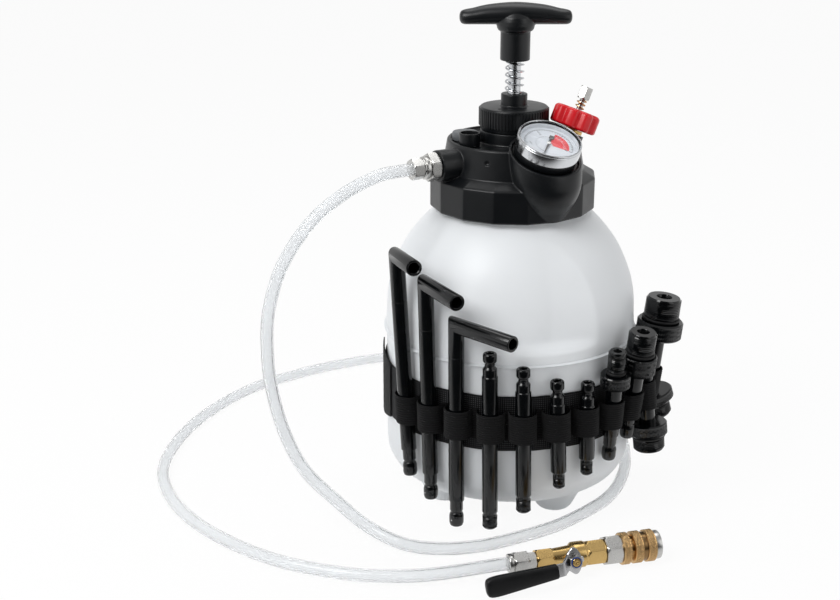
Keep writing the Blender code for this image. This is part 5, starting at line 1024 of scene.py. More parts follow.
def armMesh():
    sizes = handleSizes
    shares = [(1.0, -0.33, 0.12, 0.12), (0.993, -0.33, 0.32, 0.30), (0.968, -0.33, 0.54, 0.50),
              (0.92, -0.33, 0.65, 0.62), (0.85, -0.30, 0.70, 0.70), (0.76, -0.26, 0.74, 0.76),
              (0.55, -0.13, 0.87, 0.86), (0.28, -0.04, 0.96, 0.98), (0.0, 0.0, 1.0, 1.06)]
    shares += [(-share, *rest) for share, *rest in reversed(shares[:-1])]
    stations = smoothRoute([Vector(share) for share in shares], 3)
    rows = []
    for share, lift, tall, deep in stations:
        row = []
        for k in range(sizes.sides):
            angle = 2 * math.pi * k / sizes.sides
            row.append((sizes.halfLength * share, sizes.halfDepth * deep * math.cos(angle),
                        sizes.halfHeight * (tall * math.sin(angle) + lift)))
        rows.append(row)
    return loftMesh("arm", rows)


def handleMesh():
    sizes = handleSizes
    rise = sizes.top - sizes.halfHeight - sizes.socketBottom
    shares = [(0.67, 0.0), (0.70, 0.014), (0.70, 0.60), (0.715, 0.625), (0.80, 0.64), (0.86, 0.68), (0.893, 0.75),
              (0.89, 0.84), (0.84, 0.93), (0.72, 1.01), (0.5, 1.06)]
    outline = [(0, sizes.socketDepth, 0), (sizes.bore, sizes.socketDepth, 0), (sizes.bore, 0, 0)]
    outline += [(sizes.hub * wide, rise * high, 0) for wide, high in shares] + [(0, rise * 1.08)]
    hub = lathed("hub", outline, Matrix.Identity(4), 96, size=0)
    arm = armMesh()
    arm.transform(Matrix.Translation((0, 0, rise)))
    mesh = fusedMesh("handleShell", hub, [("UNION", arm)], 0.0005, 3, 0.6)
    mesh.transform(seatAt((0, 0, sizes.socketBottom)))
    return mesh


dress("handleShell", handleMesh(), "handlePlastic", "t_handle", crease=60.0)
print("pump top made")


# gauge
bezelOuter = gaugeSizes.bezelRadius
bezelInner, lipInner = bezelOuter - gaugeSizes.wall, bezelOuter - gaugeSizes.lipWidth
turnedPiece("bezelSkin", [
    (bezelInner, -gaugeSizes.height), (bezelOuter, -gaugeSizes.height, 0.0008),
    (bezelOuter, -0.0022, 0.0002), (bezelOuter - 0.0004, -0.0019, 0.0002), (bezelOuter - 0.0001, -0.0015, 0.0002),
    (bezelOuter - 0.0002, -0.0006, 0.0006), (bezelOuter - 0.0012, 0, 0.0006), (lipInner + 0.0004, 0, 0.0004),
    (lipInner, -0.0010, 0.0002), (bezelInner, -0.0010, 0.0002)], gaugeSeat, 120, "chrome", "gauge_bezel", "chrome",
    ring=True, size=0.0003, steps=4)
caseRadius = bezelInner - 0.0003
caseInner = caseRadius - 0.0010
dialBack = -gaugeSizes.dialDrop - 0.0007
turnedPiece("caseSkin", [
    (0, -gaugeSizes.caseDepth), (caseRadius, -gaugeSizes.caseDepth, 0.002), (caseRadius, -0.0026),
    (caseInner, -0.0026), (caseInner, dialBack - 0.0003), (0, dialBack - 0.0003)], gaugeSeat, 96, "blackPlastic",
    "gauge_case", "chrome", size=0.0003)
lensRadius = lipInner + 0.0015
turnedPiece("lensSkin", [(0, -0.0023), (lensRadius, -0.0023), (lensRadius, -0.0013), (0, -0.0013)], gaugeSeat, 96,
            "gaugeGlass", "gauge_lens", "gauge_glass", size=0.0002)
turnedPiece("dialSkin", [
    (0, dialBack), (caseInner - 0.0003, dialBack), (caseInner - 0.0003, -gaugeSizes.liner),
    (caseInner - 0.0011, -gaugeSizes.liner), (caseInner - 0.0014, -gaugeSizes.dialDrop),
    (0, -gaugeSizes.dialDrop)], gaugeSeat, 96, "dialWhite", "gauge_dial", "white_enamel", size=0.0001)


def dialPoint(angle, radius, lift):
    # clockwise from the dial's top
    return Vector((radius * math.sin(math.radians(angle)), radius * math.cos(math.radians(angle)), lift))


def dialBand(start, end, inner, outer, lift, steps=24, depth=0.00012):
    rows = []
    for step in range(steps + 1):
        angle = start + (end - start) * step / steps
        rows.append([dialPoint(angle, radius, height) for radius, height in (
            (inner, lift), (outer, lift), (outer, lift + depth), (inner, lift + depth))])
    return loftMesh("band", rows)


def dialNumber(text, angle, radius, size, lift):
    word = bpy.data.curves.new("number", "FONT")
    word.body, word.size = text, size
    word.align_x, word.align_y = "CENTER", "CENTER"
    word.extrude = 0.00006
    mesh = settled(placed("numberSeed", word))
    mesh.transform(Matrix.Translation(dialPoint(angle, radius, lift)))
    return mesh


scaleSizes = SimpleNamespace(
    start=-135.0, sweep=270.0, steps=40, outer=0.0187, major=0.0026, minor=0.0013, line=0.00022,
    innerRing=(0.0098, 0.0099), numberRing=0.0138, numberSize=0.0042, lift=0.00006, redStart=50.0, redEnd=133.0,
    redInner=0.0030, redOuter=0.0160, whiteRing=(0.0118, 0.01205), whiteMark=(0.0120, 0.0138))
dialFace = -gaugeSizes.dialDrop + scaleSizes.lift
scaleStart, scaleOuter = scaleSizes.start, scaleSizes.outer
marks = []
for step in range(scaleSizes.steps + 1):
    angle = scaleStart + scaleSizes.sweep * step / scaleSizes.steps
    deep, half = (scaleSizes.major, 0.8) if step % 10 == 0 else (scaleSizes.minor, 0.5)
    marks.append(dialBand(angle - half, angle + half, scaleOuter - deep, scaleOuter, dialFace, 1))
marks.append(dialBand(scaleStart, -scaleStart, scaleOuter, scaleOuter + scaleSizes.line, dialFace, 60))
marks.append(dialBand(scaleStart, 45, *scaleSizes.innerRing, dialFace, 40))
for value in range(5):
    marks.append(dialNumber(str(value), scaleStart + scaleSizes.sweep * value / 4, scaleSizes.numberRing,
                            scaleSizes.numberSize, dialFace + scaleSizes.lift))
redZone = dialBand(scaleSizes.redStart, scaleSizes.redEnd, scaleSizes.redInner, scaleSizes.redOuter,
                   dialFace, 40)
whiteArcs = [dialBand(58, 128, *scaleSizes.whiteRing, dialFace + scaleSizes.lift, 30)]
for step in range(6):
    whiteArcs.append(dialBand(60 + step * 13, 60.9 + step * 13, *scaleSizes.whiteMark,
                              dialFace + scaleSizes.lift, 1))
for name, printed, finish, slot in (
        ("dialMarks", joinMeshes("dialMarks", marks), "dialGrey", "black_plastic"),
        ("dialRedZone", redZone, "dialRed", "red_plastic"),
        ("dialWhiteArcs", joinMeshes("dialWhiteArcs", whiteArcs), "dialWhite", "white_enamel")):
    printed.transform(gaugeSeat)
    dress(name, printed, finish, "gauge_dial", extra=True)


def needleMesh():
    sizes = gaugeSizes
    half = sizes.needleHalf
    outline = [(half * 0.5, -sizes.needleLength), (half, -0.003), (half, sizes.tailStart - 0.0004),
               (sizes.tailHalf, sizes.tailStart), (sizes.tailHalf, sizes.needleTail)]
    points = [(x, y) for x, y in outline] + [(-x, y) for x, y in reversed(outline)]
    turn = Matrix.Rotation(math.radians(sizes.needleRest), 4, "Z")
    seat = gaugeSeat @ Matrix.Translation((0, 0, -sizes.dialDrop + 0.0006)) @ turn
    return loftMesh("needleSkin", [[(x, y, height) for x, y in points] for height in (0, 0.0004)], seat)


dress("needleSkin", needleMesh(), "dialBlack", "gauge_needle", crease=20.0)
dress("needleHub", lathed("needleHub", [(0, 0.0002), (0.0016, 0.0002), (0.0016, 0.0014), (0, 0.0016)],
                          gaugeSeat @ Matrix.Translation((0, 0, -gaugeSizes.dialDrop + 0.0006)), 32, size=0.0004),
      "nickel", "gauge_needle", extra=True)
print("gauge built")


# red relief knob, its valve, pin and spring
def knobShape(angle, radius, height):
    if radius < knobSizes.radius * 0.75:
        return radius
    wave = 0.5 - 0.5 * math.cos(knobSizes.lobes * angle)
    return radius - knobSizes.depth * wave ** 2.5 * (radius / knobSizes.radius)


knobRadius, knobTop, hexStart = knobSizes.radius, knobSizes.height, knobSizes.hexStart
turnedPiece("knobSkin", [
    (0.0053, 0), (knobRadius - 0.0018, 0, 0.0006), (knobRadius, 0.0011, 0.0012),
    (knobRadius, knobTop - 0.0018, 0.0016), (knobRadius - 0.0022, knobTop, 0.0014), (0.0040, knobTop, 0.0004),
    (0.0036, knobTop - 0.0012, 0.0003), (0.0027, knobTop - 0.0012, 0.0002), (0.0027, 0.0080), (0.0053, 0.0080)],
    knobSeat, 128, "redPlastic", "relief_knob", "red_plastic", crease=50.0, shape=knobShape, ring=True, size=0.0005,
    steps=4)
turnedPiece("reliefValveSkin", [
    (0, -0.0146), (0.0060, -0.0146), (0.0060, -0.0033), (0.0095, -0.0033), (0.0095, -0.0003), (0.0050, -0.0003),
    (0.0050, 0.0077), (0.0027, 0.0077), (0.0027, 0.0003), (0, 0.0003)], knobSeat, 48, "brass", "relief_valve",
    "brass", size=0.0003)
pinCore, shankTop = knobSizes.pinRadius * 0.86, hexStart + 0.001
pinHex = hexNut("pinHex", knobSizes.hexFlats, hexStart, hexStart + knobSizes.hexLength, knobSeat)
pinShank = lathed("pinShank", [(0, 0.0012), (pinCore, 0.0012), (pinCore, shankTop), (0, shankTop)], knobSeat, 32,
                  size=0.0003)
pinThread = thread("pinThread", pinCore, knobTop - 0.002, hexStart, 0.0008, knobSeat, "nickel")
dress("reliefPinSkin", joinMeshes("reliefPinSkin", [pinHex, pinShank, pinThread]), "nickel", "relief_pin",
      crease=30.0)
wireGap = knobSizes.springWire + 0.0003
dress("reliefSpringWire", coil("reliefSpringWire", knobSizes.springRadius, knobTop + wireGap, hexStart - wireGap,
                               2.5, knobSizes.springWire, knobSeat, 40, 8, "brass"),
      "brass", "relief_spring")


# outlet fitting and its nut
fittingSizes = SimpleNamespace(
    hexFlats=0.0200, hexLength=0.0085, ringRadius=0.0090, ringLength=0.0050, nutFlats=0.0150, nutLength=0.0090,
    spigot=0.0062)
fittingSeat = seatAt(bossFace, bossTurn)
hexLast = 0.0003 + fittingSizes.hexLength
ringLast = hexLast + fittingSizes.ringLength
spigot, ringRadius = fittingSizes.spigot, fittingSizes.ringRadius
fittingParts = [
    hexNut("fittingHex", fittingSizes.hexFlats, 0.0003, hexLast, fittingSeat),
    lathed("fittingSpigot", [(0, -0.0127), (spigot, -0.0127), (spigot, 0.0005), (0, 0.0005)], fittingSeat, 48,
           size=0.0003),
    lathed("fittingRing", [(0, hexLast - 0.0004), (ringRadius, hexLast - 0.0004),
                           (ringRadius, ringLast - 0.0014, 0.0005), (ringRadius * 0.86, ringLast - 0.0012),
                           (ringRadius * 0.86, ringLast), (0, ringLast)], fittingSeat, 64, size=0.0003),
    thread("fittingThread", ringRadius * 0.93, hexLast + 0.0003, ringLast - 0.0018, 0.0010, fittingSeat, "nickel"),
]
dress("fittingSkin", joinMeshes("fittingSkin", fittingParts), "nickel", "outlet_fitting", crease=30.0)
dress("outletNutSkin", hexNut("outletNutSkin", fittingSizes.nutFlats, ringLast + 0.0003,
                              ringLast + 0.0003 + fittingSizes.nutLength, fittingSeat),
      "nickel", "outlet_nut", crease=30.0)
print("knob and outlet made")


# ball valve, lever and quick coupler on the hose's end
valveSizes = SimpleNamespace(
    nut=(0.0150, -0.0480, -0.0332), tail=(0.0120, -0.0329, -0.0268), bodyIn=(0.0145, -0.0265, -0.0135),
    bodyOut=(0.0180, 0.0136, 0.0279), end=(0.0208, 0.0282, 0.0410), stemTilt=11.0, stemRadius=0.0032,
    stemLength=0.0185, collar=0.0052, collarEnd=0.0115, leverLength=0.0735, leverWidth=0.0110, leverThickness=0.0020,
    leverStart=0.0122, crank=0.0120, crankRun=0.0140, droop=6.5, tab=0.0065, nutFlats=0.0095, nutHeight=0.0040,
    gripLength=0.0560, gripHeight=0.0158, gripThickness=0.0080, ballRoom=0.0072, bevel=0.0003)
alongX = squareTo((1, 0, 0), (0, 0, -1))
valveSeat = seatAt(valvePlace, valveTurn) @ alongX.to_4x4()
stemDirection = Vector((0, -math.cos(math.radians(valveSizes.stemTilt)),
                        math.sin(math.radians(valveSizes.stemTilt))))
stemTurn = beamTo(stemDirection, (-1, 0, 0))
stemSeat = seatAt(valvePlace, valveTurn) @ stemTurn.to_4x4()


def valvePiece(name, mesh, finish, node, crease=30.0, extra=False):
    dress(name, mesh, finish, node, crease, extra)


nutFlats, nutStart, nutEnd = valveSizes.nut
groovedNut = joinMeshes("valveNutSkin", [
    hexNut("nutA", nutFlats, nutStart + 0.0040, nutEnd, valveSeat),
    lathed("nutB", [(0, nutStart), (0.0068, nutStart), (0.0072, nutStart + 0.0008), (0.0072, nutStart + 0.0030),
                    (0.0060, nutStart + 0.0034), (0.0060, nutStart + 0.0046), (0, nutStart + 0.0046)],
           valveSeat, 64, size=0.0003)])
valvePiece("valveNutSkin", groovedNut, "nickel", "valve_hose_nut")
tailFlats, tailStart, tailEnd = valveSizes.tail
valvePiece("valveTailSkin", hexNut("valveTailSkin", tailFlats, tailStart, tailEnd, valveSeat), "nickel", "valve_tail")
inFlats, inStart, inEnd = valveSizes.bodyIn
outFlats, outStart, outEnd = valveSizes.bodyOut
valveBodyParts = [
    hexNut("bodyHexIn", inFlats, inStart, inEnd, valveSeat, bore=0.004),
    lathed("bodyHousing", [(0.0040, inEnd - 0.0004), (0.0068, inEnd - 0.0004), (0.0078, 0.0008, 0.0003),
                           (0.0096, 0.0022, 0.0005), (0.0100, 0.0034, 0.0005), (0.0100, 0.0116, 0.0005),
                           (0.0092, 0.0126, 0.0003), (0.0092, outStart + 0.0004), (0.0040, outStart + 0.0004)]
           + [(valveSizes.ballRoom * math.cos(math.radians(angle)),
               valveSizes.ballRoom * math.sin(math.radians(angle)), 0) for angle in range(54, -60, -12)],
           valveSeat, 72, ring=True, size=0.0006),
    hexNut("bodyHexOut", outFlats, outStart, outEnd, valveSeat, bore=0.004),
    lathed("stemBoss", [(0.0035, 0.0076), (0.0060, 0.0076), (valveSizes.collar, 0.0096),
                        (valveSizes.collar, valveSizes.collarEnd), (0.0035, valveSizes.collarEnd)],
           stemSeat, 48, ring=True, size=0.0003),
]
valvePiece("valveBodySkin", joinMeshes("valveBodySkin", valveBodyParts), "brass", "valve_body")
stemRadius, stemTop = valveSizes.stemRadius, valveSizes.stemLength
valvePiece("valveStemSkin", lathed("valveStemSkin", [
    (0, 0.0071), (stemRadius, 0.0071), (stemRadius, stemTop, 0.0005), (0.0011, stemTop, 0.0002),
    (0.0009, stemTop - 0.0006, 0.0002), (0, stemTop - 0.0006)], stemSeat, 40, size=0.0003), "brass", "valve_stem")
endFlats, endStart, endLast = valveSizes.end
valvePiece("valveEndSkin", hexNut("valveEndSkin", endFlats, endStart, endLast, valveSeat, bore=0.004), "nickel",
           "valve_end")


def knurled(count, depth, low, high, pitch):
    # crossed knurl: two families of slanting grooves between two heights
    def shape(angle, radius, height):
        if not low < height < high:
            return radius
        turn = count * angle
        slant = 2 * math.pi * (height - low) / pitch
        one = abs(math.sin((turn + slant) / 2))
        two = abs(math.sin((turn - slant) / 2))
        return radius - depth * (1.0 - min(one, two) * 1.5 if min(one, two) < 0.66 else 0.0)
    return shape


def knurledBand(radius, low, high, edge, rows):
    step = (high - low - 2 * edge) / rows
    return [(radius - edge, low, 0)] + [(radius, low + edge + step * k, 0) for k in range(rows + 1)] + [
        (radius - edge, high, 0)]


couplerSizes = SimpleNamespace(
    radius=0.0123, inner=0.0091, bodyRadius=0.0088, start=0.0413, fixedEnd=0.04755, sleeveStart=0.05025,
    sleeveEnd=0.0680, ringStart=0.0683, ringEnd=0.0727, ringRadius=0.0110, bore=0.0058, boreDepth=0.0220, edge=0.0006,
    knurlCount=38, knurlDepth=0.0006, knurlPitch=0.0020)
c = couplerSizes
fixedKnurl = knurled(c.knurlCount, c.knurlDepth, c.start + c.edge, c.fixedEnd - c.edge,
                     c.knurlPitch)
couplerBodyOutline = [(0, c.start, 0)] + knurledBand(c.radius, c.start, c.fixedEnd, c.edge, 12) + [
    (c.bodyRadius, c.fixedEnd, 0), (c.bodyRadius, c.ringEnd, 0), (c.bore, c.ringEnd, 0),
    (c.bore, c.ringEnd - c.boreDepth, 0), (0, c.ringEnd - c.boreDepth)]
valvePiece("couplerBodySkin", lathed("couplerBodySkin", couplerBodyOutline, valveSeat, 264, fixedKnurl, size=0),
           "couplerBrass", "coupler_body", crease=50.0)
sleeveRun = c.sleeveEnd - c.sleeveStart
firstEnd = c.sleeveStart + sleeveRun * 0.40
secondStart = c.sleeveStart + sleeveRun * 0.60
firstKnurl = knurled(c.knurlCount, c.knurlDepth, c.sleeveStart + c.edge, firstEnd - c.edge,
                     c.knurlPitch)
secondKnurl = knurled(c.knurlCount, c.knurlDepth, secondStart + c.edge, c.sleeveEnd - c.edge,
                      c.knurlPitch)


def sleeveShape(angle, radius, height):
    return firstKnurl(angle, radius, height) if height < (firstEnd + secondStart) / 2 else secondKnurl(
        angle, radius, height)


sleeveOutline = [(c.inner, c.sleeveStart, 0)]
sleeveOutline += knurledBand(c.radius, c.sleeveStart, firstEnd, c.edge, 14)
sleeveOutline += [(c.radius - 0.0012, firstEnd, 0), (c.radius - 0.0012, secondStart, 0)]
sleeveOutline += knurledBand(c.radius, secondStart, c.sleeveEnd, c.edge, 14)
sleeveOutline += [(c.inner, c.sleeveEnd, 0)]
valvePiece("couplerSleeveSkin", lathed("couplerSleeveSkin", sleeveOutline, valveSeat, 264, sleeveShape, ring=True,
                                       size=0), "couplerBrass", "coupler_sleeve", crease=50.0)
valvePiece("couplerRingSkin", lathed("couplerRingSkin", [
    (c.inner, c.ringStart), (c.ringRadius, c.ringStart), (c.ringRadius, c.ringEnd, 0.0009),
    (c.inner, c.ringEnd)], valveSeat, 72, ring=True, size=0.0004), "nickel", "coupler_ring")


def leverMesh():
    # bent strip with a boss round the stem and a stop tab behind it
    sizes = valveSizes
    start, tab = sizes.leverStart, sizes.tab
    flat = start + sizes.crank
    line = [(-tab - 0.0006, start + 0.0022, 0.30), (-tab, start + 0.0006, 0.5), (-0.0045, start, 1.2),
            (-0.0020, start, 1.75), (0.0, start, 1.9), (0.0020, start, 1.75), (0.0048, start + 0.0004, 1.3),
            (0.0066, start + 0.0018, 1.05), (0.0124, flat - 0.0010, 0.90), (sizes.crankRun, flat, 0.92),
            (sizes.leverLength * 0.35, flat, 0.94)]
    fine = smoothRoute([Vector(point) for point in line], 4)
    bevel = sizes.bevel
    rows = []
    for index, point in enumerate(fine):
        before, after = fine[max(0, index - 1)], fine[min(len(fine) - 1, index + 1)]
        along = Vector((after.x - before.x, 0, after.y - before.y)).normalized()
        normal = Vector((-along.z, 0, along.x))
        half = sizes.leverWidth / 2 * point.z
        low = Vector((point.x, 0, point.y))
        high = low + normal * sizes.leverThickness
        rows.append([base + Vector((0, side * (half - shift), 0)) for side, base, shift in (
            (-1, low, bevel), (1, low, bevel), (1, low + normal * bevel, 0), (1, high - normal * bevel, 0),
            (1, high, bevel), (-1, high, bevel), (-1, high - normal * bevel, 0), (-1, low + normal * bevel, 0))])
    return loftMesh("leverPlate", rows, stemSeat @ Matrix.Rotation(math.radians(sizes.droop), 4, "Z"))


valvePiece("leverPlate", leverMesh(), "plainSteel", "valve_lever", crease=35.0)
nutBase = valveSizes.leverStart + valveSizes.leverThickness + 0.0003
valvePiece("leverNutSkin", hexNut("leverNutSkin", valveSizes.nutFlats, nutBase,
                                  nutBase + valveSizes.nutHeight - 0.0006, stemSeat, bore=0.0035), "nickel",
           "lever_nut")
nutTop = nutBase + valveSizes.nutHeight
nutCollar = lathed("leverNutCollar", [
    (0.0035, nutTop - 0.0008), (0.0041, nutTop - 0.0008), (0.0040, nutTop), (0.0035, nutTop)], stemSeat, 40,
    ring=True, size=0.0002)
valvePiece("leverNylonRing", nutCollar, "nylonBlue", "lever_nut", 34.0, extra=True)


def gripMesh():
    sizes = valveSizes
    start = sizes.leverLength - sizes.gripLength
    stations = smoothRoute([Vector((share, swell, 0)) for share, swell in (
        (0.0, 0.80), (0.015, 0.97), (0.05, 1.0), (0.35, 1.0), (0.75, 1.0), (0.90, 0.97), (0.965, 0.86),
        (0.99, 0.68), (1.0, 0.42))], 4)
    rows = []
    for station in stations:
        share, swell = station.x, station.y
        height = sizes.gripHeight * (0.70 + 0.30 * min(1.0, share * 1.2)) * swell
        depth = sizes.gripThickness * (0.84 + 0.16 * share) * min(1.0, swell + 0.12)
        row = []
        for k in range(40):
            angle = 2 * math.pi * k / 40
            across = math.copysign(abs(math.cos(angle)) ** 0.62, math.cos(angle))
            over = math.copysign(abs(math.sin(angle)) ** 0.62, math.sin(angle))
            row.append((start + sizes.gripLength * share, height / 2 * across, depth / 2 * over))
        rows.append(row)
    lift = Matrix.Translation((0, 0, sizes.leverStart + sizes.crank + sizes.leverThickness / 2))
    return loftMesh("gripSkin", rows, stemSeat @ lift @ Matrix.Rotation(math.radians(sizes.droop), 4, "Z"))


valvePiece("gripSkin", gripMesh(), "gripRubber", "lever_grip", crease=50.0)
print("valve and coupler made")


# adapters
adapterSizes = SimpleNamespace(
    middle=0.0935, reachUnit=0.1000, tube=0.00625, bore=0.0042, footBore=0.0030, footLength=0.0220,
    nippleLength=0.0190, loopFloor=0.104304, gap=0.0003, beltWidth=0.0456, bottleRadius=0.102, clear=0.0020,
    endClear=0.00159, endRim=0.00406, sides=48, boreShare=0.42, boreDepth=0.016, sealHeight=0.0025, ballLength=0.03)
# azimuth, tilt, foot, elbow or top, and so on, lengths in hundreds of millimetres from the belt's middle
angledAdapters = ((-50.6, -5.3, -0.567, 1.245, -72.4, 0.0465, 0.036),
                  (-37.6, -1.86, -0.701, 1.092, -65.3, 0.0550, 0.036),
                  (-24.7, -0.56, -0.880, 0.806, -46.5, 0.0590, 0.025))
straightAdapters = ((-10.7, -0.89, -0.861, 0.614, 0.95), (2.7, -1.34, -0.712, 0.496, 0.94),
                    (17.0, -2.76, -0.530, 0.380, 0.76), (30.5, -1.55, -0.462, 0.324, 0.78))
threadedAdapters = (
    (43.2, 6.0, -4.0, -0.410, 0.562, 0.255, 0.105, 0.0072, 0.0118, 0.0011),
    (56.3, 7.5, -2.5, -0.295, 0.655, 0.300, 0.150, 0.0113, 0.0144, 0.0014),
    (70.5, -6.0, 0.0, 0.385, -0.490, -0.250, 0.105, 0.0130, 0.0158, 0.0014),
    (84.5, 6.0, 0.0, -0.340, 0.745, 0.400, 0.145, 0.0146, 0.0190, 0.0014),
    (99.5, -17.0, 0.0, 0.387, -0.463, -0.235, 0.085, 0.0130, 0.0180, 0.0014),
)


def adapterStand(azimuth, lean, tilt, collarHeight=0.0, collarRadius=0.0, endHeight=0.0):
    sizes = adapterSizes
    side, along = outward(azimuth), outward(azimuth + 90)
    slope = math.tan(math.radians(lean))
    reach = sizes.loopFloor + sizes.tube + sizes.gap + sizes.beltWidth / 2 * abs(slope)
    if collarRadius:
        reach = max(reach, sizes.bottleRadius + sizes.clear + collarRadius - collarHeight * slope,
                    sizes.bottleRadius + sizes.endClear + sizes.endRim - endHeight * slope)
    axis = (Vector((0, 0, 1)) + side * slope + along * math.tan(math.radians(tilt))).normalized()
    return side * reach + Vector((0, 0, sizes.middle)), axis, reach


def ballFoot(foot):
    # quick-connect end: rounded ball, neck, then a ring where it meets the tube
    sizes = adapterSizes
    unit, length = sizes.tube, sizes.footLength
    shares = ((0.62, 0.0, 0.0006), (0.80, 0.012, 0.0008), (0.93, 0.12, 0.0012), (0.93, 0.40, 0.0012),
              (0.80, 0.50, 0.0006), (0.72, 0.525, 0.0003), (0.72, 0.575, 0.0003), (0.84, 0.61, 0.0004),
              (0.84, 0.985, 0.0002), (1.0, 1.0, 0.0003))
    return [(unit * wide, foot + length * high, own) for wide, high, own in shares]


def pinDot(seat, height, azimuth):
    # small locking pin in the ball end, seen as a dot
    turn = squareTo(outward(azimuth), (0, 0, 1))
    place = seat @ Matrix.Translation(outward(azimuth, adapterSizes.tube * 0.93) + Vector((0, 0, height)))
    return lathed("pinDot", [(0, -0.0008), (0.0006, -0.0008), (0.0006, 0.0001), (0, 0.0003)],
                  place @ turn.to_4x4(), 16, size=0.0002)


sizes = adapterSizes
loops = []
for number, (azimuth, tilt, foot, corner, bearing, armLength, markDrop) in enumerate(angledAdapters, 1):
    place, axis, reach = adapterStand(azimuth, 0.0, tilt)
    loops.append((azimuth, 0.0, tilt, reach))
    foot, corner = foot * sizes.reachUnit, corner * sizes.reachUnit
    turn = squareTo(axis, outward(azimuth))
    level = Vector((math.cos(math.radians(bearing)), math.sin(math.radians(bearing)), 0))
    level = (level - axis * level.dot(axis)).normalized()
    arm = turn.inverted() @ level
    up = Vector((0, 0, 1))
    cross = up.cross(arm).normalized()
    count = sizes.sides

    def pipeRing(centre, direction, radius):
        other = direction.cross(cross)
        return [centre + cross * radius * math.cos(2 * math.pi * k / count)
                + other * radius * math.sin(2 * math.pi * k / count) for k in range(count)]

    def mitreRing(centre, radius):
        plane = (up + arm).normalized()
        return [point - up * ((point - centre).dot(plane) / up.dot(plane)) for point in pipeRing(centre, up, radius)]

    elbow, tube, bore = up * corner, sizes.tube, sizes.bore
    mouth = elbow + arm * armLength
    footOutline = eased([(sizes.footBore, foot)] + ballFoot(foot) + [(tube, foot + sizes.ballLength)], 0.0004)
    markHeight = corner - markDrop
    rings = [pipeRing(up * height, up, radius) for radius, height in footOutline]
    for shift, cut in ((-0.0005, 0.0), (-0.0002, 0.0003), (0.0002, 0.0003), (0.0005, 0.0)):
        rings.append(pipeRing(up * (markHeight + shift), up, tube - cut))
    rings += [mitreRing(elbow, tube), pipeRing(mouth - arm * 0.0005, arm, tube),
              pipeRing(mouth - arm * 0.00015, arm, tube - 0.00015),
              pipeRing(mouth, arm, tube - 0.0005), pipeRing(mouth, arm, bore + 0.0004),
              pipeRing(mouth - arm * 0.0004, arm, bore), mitreRing(elbow, bore)]
    rings += [pipeRing(up * (foot + sizes.footLength), up, bore),
              pipeRing(up * (foot + sizes.footLength), up, sizes.footBore)]
    bm = bmesh.new()
    mapLayer = bm.loops.layers.uv.new("UVMap")
    made = [[bm.verts.new(point) for point in ring] for ring in rings]
    run = 0.0
    for index in range(len(made)):
        lower, upper = made[index], made[(index + 1) % len(made)]
        step = (lower[0].co - upper[0].co).length
        for k in range(count):
            after = (k + 1) % count
            face = bm.faces.new((lower[k], lower[after], upper[after], upper[k]))
            values = ((k, run), (k + 1, run), (k + 1, run + step), (k, run + step))
            for loop, (across, along) in zip(face.loops, values):
                loop[mapLayer].uv = (across / count * 2 * math.pi * tube, along)
        run += step
    name = "angledTube%d" % number
    seat = seatAt(place, turn)
    mesh = meshFrom(name, bm, seat)
    node = "adapter_angled_%d" % number
    dress(name, mesh, "blackSteel", node, crease=32.0)
    dress(name + "Pin", pinDot(seat, foot + sizes.footLength * 0.26, -20.0), "plainSteel", node, extra=True)

for number, (azimuth, tilt, foot, top, footShare) in enumerate(straightAdapters, 1):
    place, axis, reach = adapterStand(azimuth, 0.0, tilt)
    loops.append((azimuth, 0.0, tilt, reach))
    foot, top = foot * sizes.reachUnit, top * sizes.reachUnit
    seat = seatAt(place, squareTo(axis, outward(azimuth)))
    tube = sizes.tube
    threadEnd = foot + 0.0115
    coreRadius, neckRadius = tube * footShare - 0.0004, tube * footShare * 0.90
    nipple = top - sizes.nippleLength
    outline = [(sizes.footBore, foot), (coreRadius - 0.0008, foot, 0.0004), (coreRadius, foot + 0.0010, 0.0004),
               (coreRadius, threadEnd, 0.0002), (neckRadius, threadEnd + 0.0004, 0.0002),
               (neckRadius, threadEnd + 0.0014, 0.0002), (tube - 0.0006, threadEnd + 0.0018, 0.0003),
               (tube, threadEnd + 0.0026, 0.0004), (tube, nipple - 0.0004, 0.0005)]
    for wide, high, own in ((0.90, 0.02, 0.0003), (0.90, 0.33, 0.0008), (0.66, 0.43, 0.0004), (0.62, 0.50, 0.0003),
                            (0.64, 0.58, 0.0004), (0.86, 0.64, 0.0006), (0.88, 0.72, 0.0004), (0.88, 0.94, 0.0007),
                            (0.74, 1.0, 0.0004)):
        outline.append((tube * wide, nipple + sizes.nippleLength * high, own))
    outline.append((sizes.footBore + 0.0005, top, 0.0003))
    outline.append((sizes.footBore, top - 0.0008, 0.0003))
    name = "straightTube%d" % number
    core = lathed(name, outline, seat, sizes.sides, ring=True, size=0.0004)
    ridges = thread(name + "Thread", coreRadius, foot + 0.0012, threadEnd - 0.0006, 0.0010, seat, "blackSteel")
    node = "adapter_straight_%d" % number
    dress(name, joinMeshes(name, [core, ridges]), "blackSteel", node, crease=32.0)

